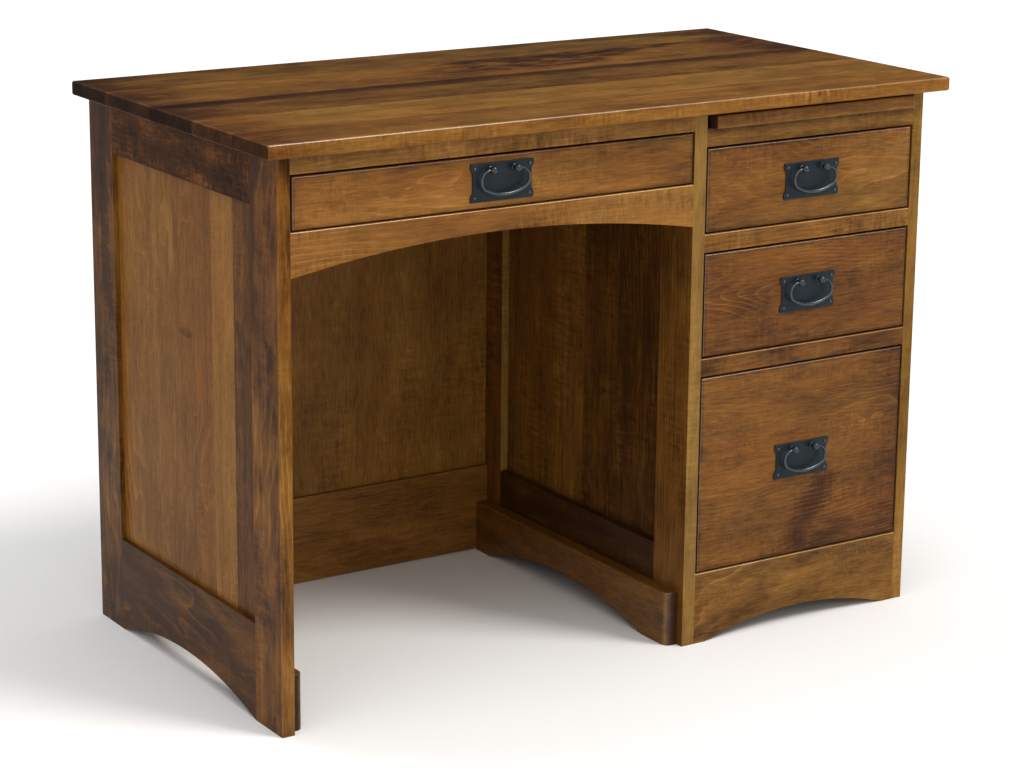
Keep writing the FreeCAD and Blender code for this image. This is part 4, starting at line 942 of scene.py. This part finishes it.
print("two posts with nuts:", len(posts.data.polygons), "faces")

# %% [markdown]
# ## Bail
# The bail is a bar that a smith drew thin towards its tips and bent over a form: out of the post, round
# a shoulder, down, round a tighter corner and along a flat curve to the middle. Half of it is made by
# spinning a disc about the centre of each bend, one step at a time, and letting it swell after each
# step. A mirror gives the other half.

# %% Bail
TIP_START = 14 * MM
SIDE_RADIUS, GRIP_RADIUS = 2.2 * MM, 3.2 * MM
HALF_WIDTH, SHOULDER, WIDEST_DROP, DROP, CORNER = 35.8 * MM, 13 * MM, 14 * MM, 32 * MM, 12 * MM
SHOULDER_STEPS, CORNER_STEPS, FLAT_STEPS = 10, 9, 9
MIRROR_MERGE = 0.05 * MM
shoulder_middle = Vector((HALF_WIDTH - SHOULDER, 0, -SHOULDER))
corner_middle = Vector((HALF_WIDTH - CORNER, 0, -WIDEST_DROP))
fall = DROP - WIDEST_DROP
flat_radius = (corner_middle.x ** 2 + fall ** 2 - CORNER ** 2) / (2 * (fall - CORNER))
flat_middle = Vector((0, 0, flat_radius - DROP))
corner_turn = math.atan2(flat_middle.z - corner_middle.z, corner_middle.x)


def bend(middle, reach, first, last, steps, radius, end_radius):
    """Spins the selected disc about a middle from one angle to another, and lets it swell on the way."""
    step = (last - first) / steps
    for i in range(steps):
        bpy.ops.mesh.spin(steps=1, angle=step, center=middle, axis=(0, 1, 0))
        angle = first + step * (i + 1)
        grown = radius + (end_radius - radius) / steps
        here = middle + Vector((math.cos(angle), 0, math.sin(angle))) * reach
        bpy.ops.transform.resize(value=(grown / radius,) * 3, center_override=here)
        radius = grown


bpy.ops.mesh.primitive_circle_add(vertices=20, radius=TIP_RADIUS, fill_type="NGON",
                                  location=(TIP_START, 0, 0), rotation=(0, math.pi / 2, 0))
bail = shape(bpy.context.object)
bpy.ops.mesh.select_all(action="SELECT")
bpy.ops.mesh.extrude_region_move(TRANSFORM_OT_translate={"value": (HALF_WIDTH - SHOULDER - TIP_START, 0, 0)})
bend(shoulder_middle, SHOULDER, math.pi / 2, 0, SHOULDER_STEPS, TIP_RADIUS, SIDE_RADIUS)
bpy.ops.mesh.extrude_region_move(TRANSFORM_OT_translate={"value": (0, 0, SHOULDER - WIDEST_DROP)})
middle_radius = (SIDE_RADIUS + GRIP_RADIUS) / 2
bend(corner_middle, CORNER, 0, -corner_turn, CORNER_STEPS, SIDE_RADIUS, middle_radius)
bend(flat_middle, flat_radius, -corner_turn, -math.pi / 2, FLAT_STEPS, middle_radius, GRIP_RADIUS)
bpy.ops.mesh.delete(type="FACE")
bpy.ops.object.mode_set(mode="OBJECT")
other_half = bail.modifiers.new("other_half", "MIRROR")
other_half.merge_threshold = MIRROR_MERGE
bpy.ops.object.modifier_apply(modifier="other_half")
bpy.ops.object.mode_set(mode="EDIT")
close_up(bail, "pull_bail", rubbed_iron)
print("bail", [round(size / MM, 2) for size in bail.dimensions], "mm")
print("flat curve of radius", round(flat_radius / MM, 1), "mm")

# %% [markdown]
# ## A pull on every drawer
# Each copy has a mesh of its own and is moved to the axis of its drawer's bail. The plate and the posts
# move with the drawer, and the bail swings by itself.

# %% Hang the pulls
axis_of = {joint["child"]: Vector(joint["pos_m"]) for joint in frame["joints"] if joint["type"] == "hinge"}


def hang(pattern, name, at, body, node):
    """Copies a pattern piece to a drawer. It moves with a body and stands for a CAD piece."""
    bpy.ops.object.select_all(action="DESELECT")
    pattern.select_set(True)
    bpy.context.view_layer.objects.active = pattern
    bpy.ops.object.duplicate(linked=False)
    piece = bpy.context.object
    piece.name = name
    piece.location = at
    bpy.ops.object.transform_apply(location=True, rotation=False, scale=False)
    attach(piece, body)
    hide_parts(node)


for drawer in DRAWERS:
    at = axis_of[drawer + "_bail"]
    hang(plate, drawer + "_forged_plate", at, drawer + "_drawer", drawer + "_pull_plate")
    hang(posts, drawer + "_forged_posts", at, drawer + "_drawer", drawer + "_pull_posts")
    hang(bail, drawer + "_forged_bail", at, drawer + "_bail", drawer + "_bail")
for pattern in (plate, posts, bail):
    bpy.data.objects.remove(pattern)
print(len(DRAWERS), "pulls hung")
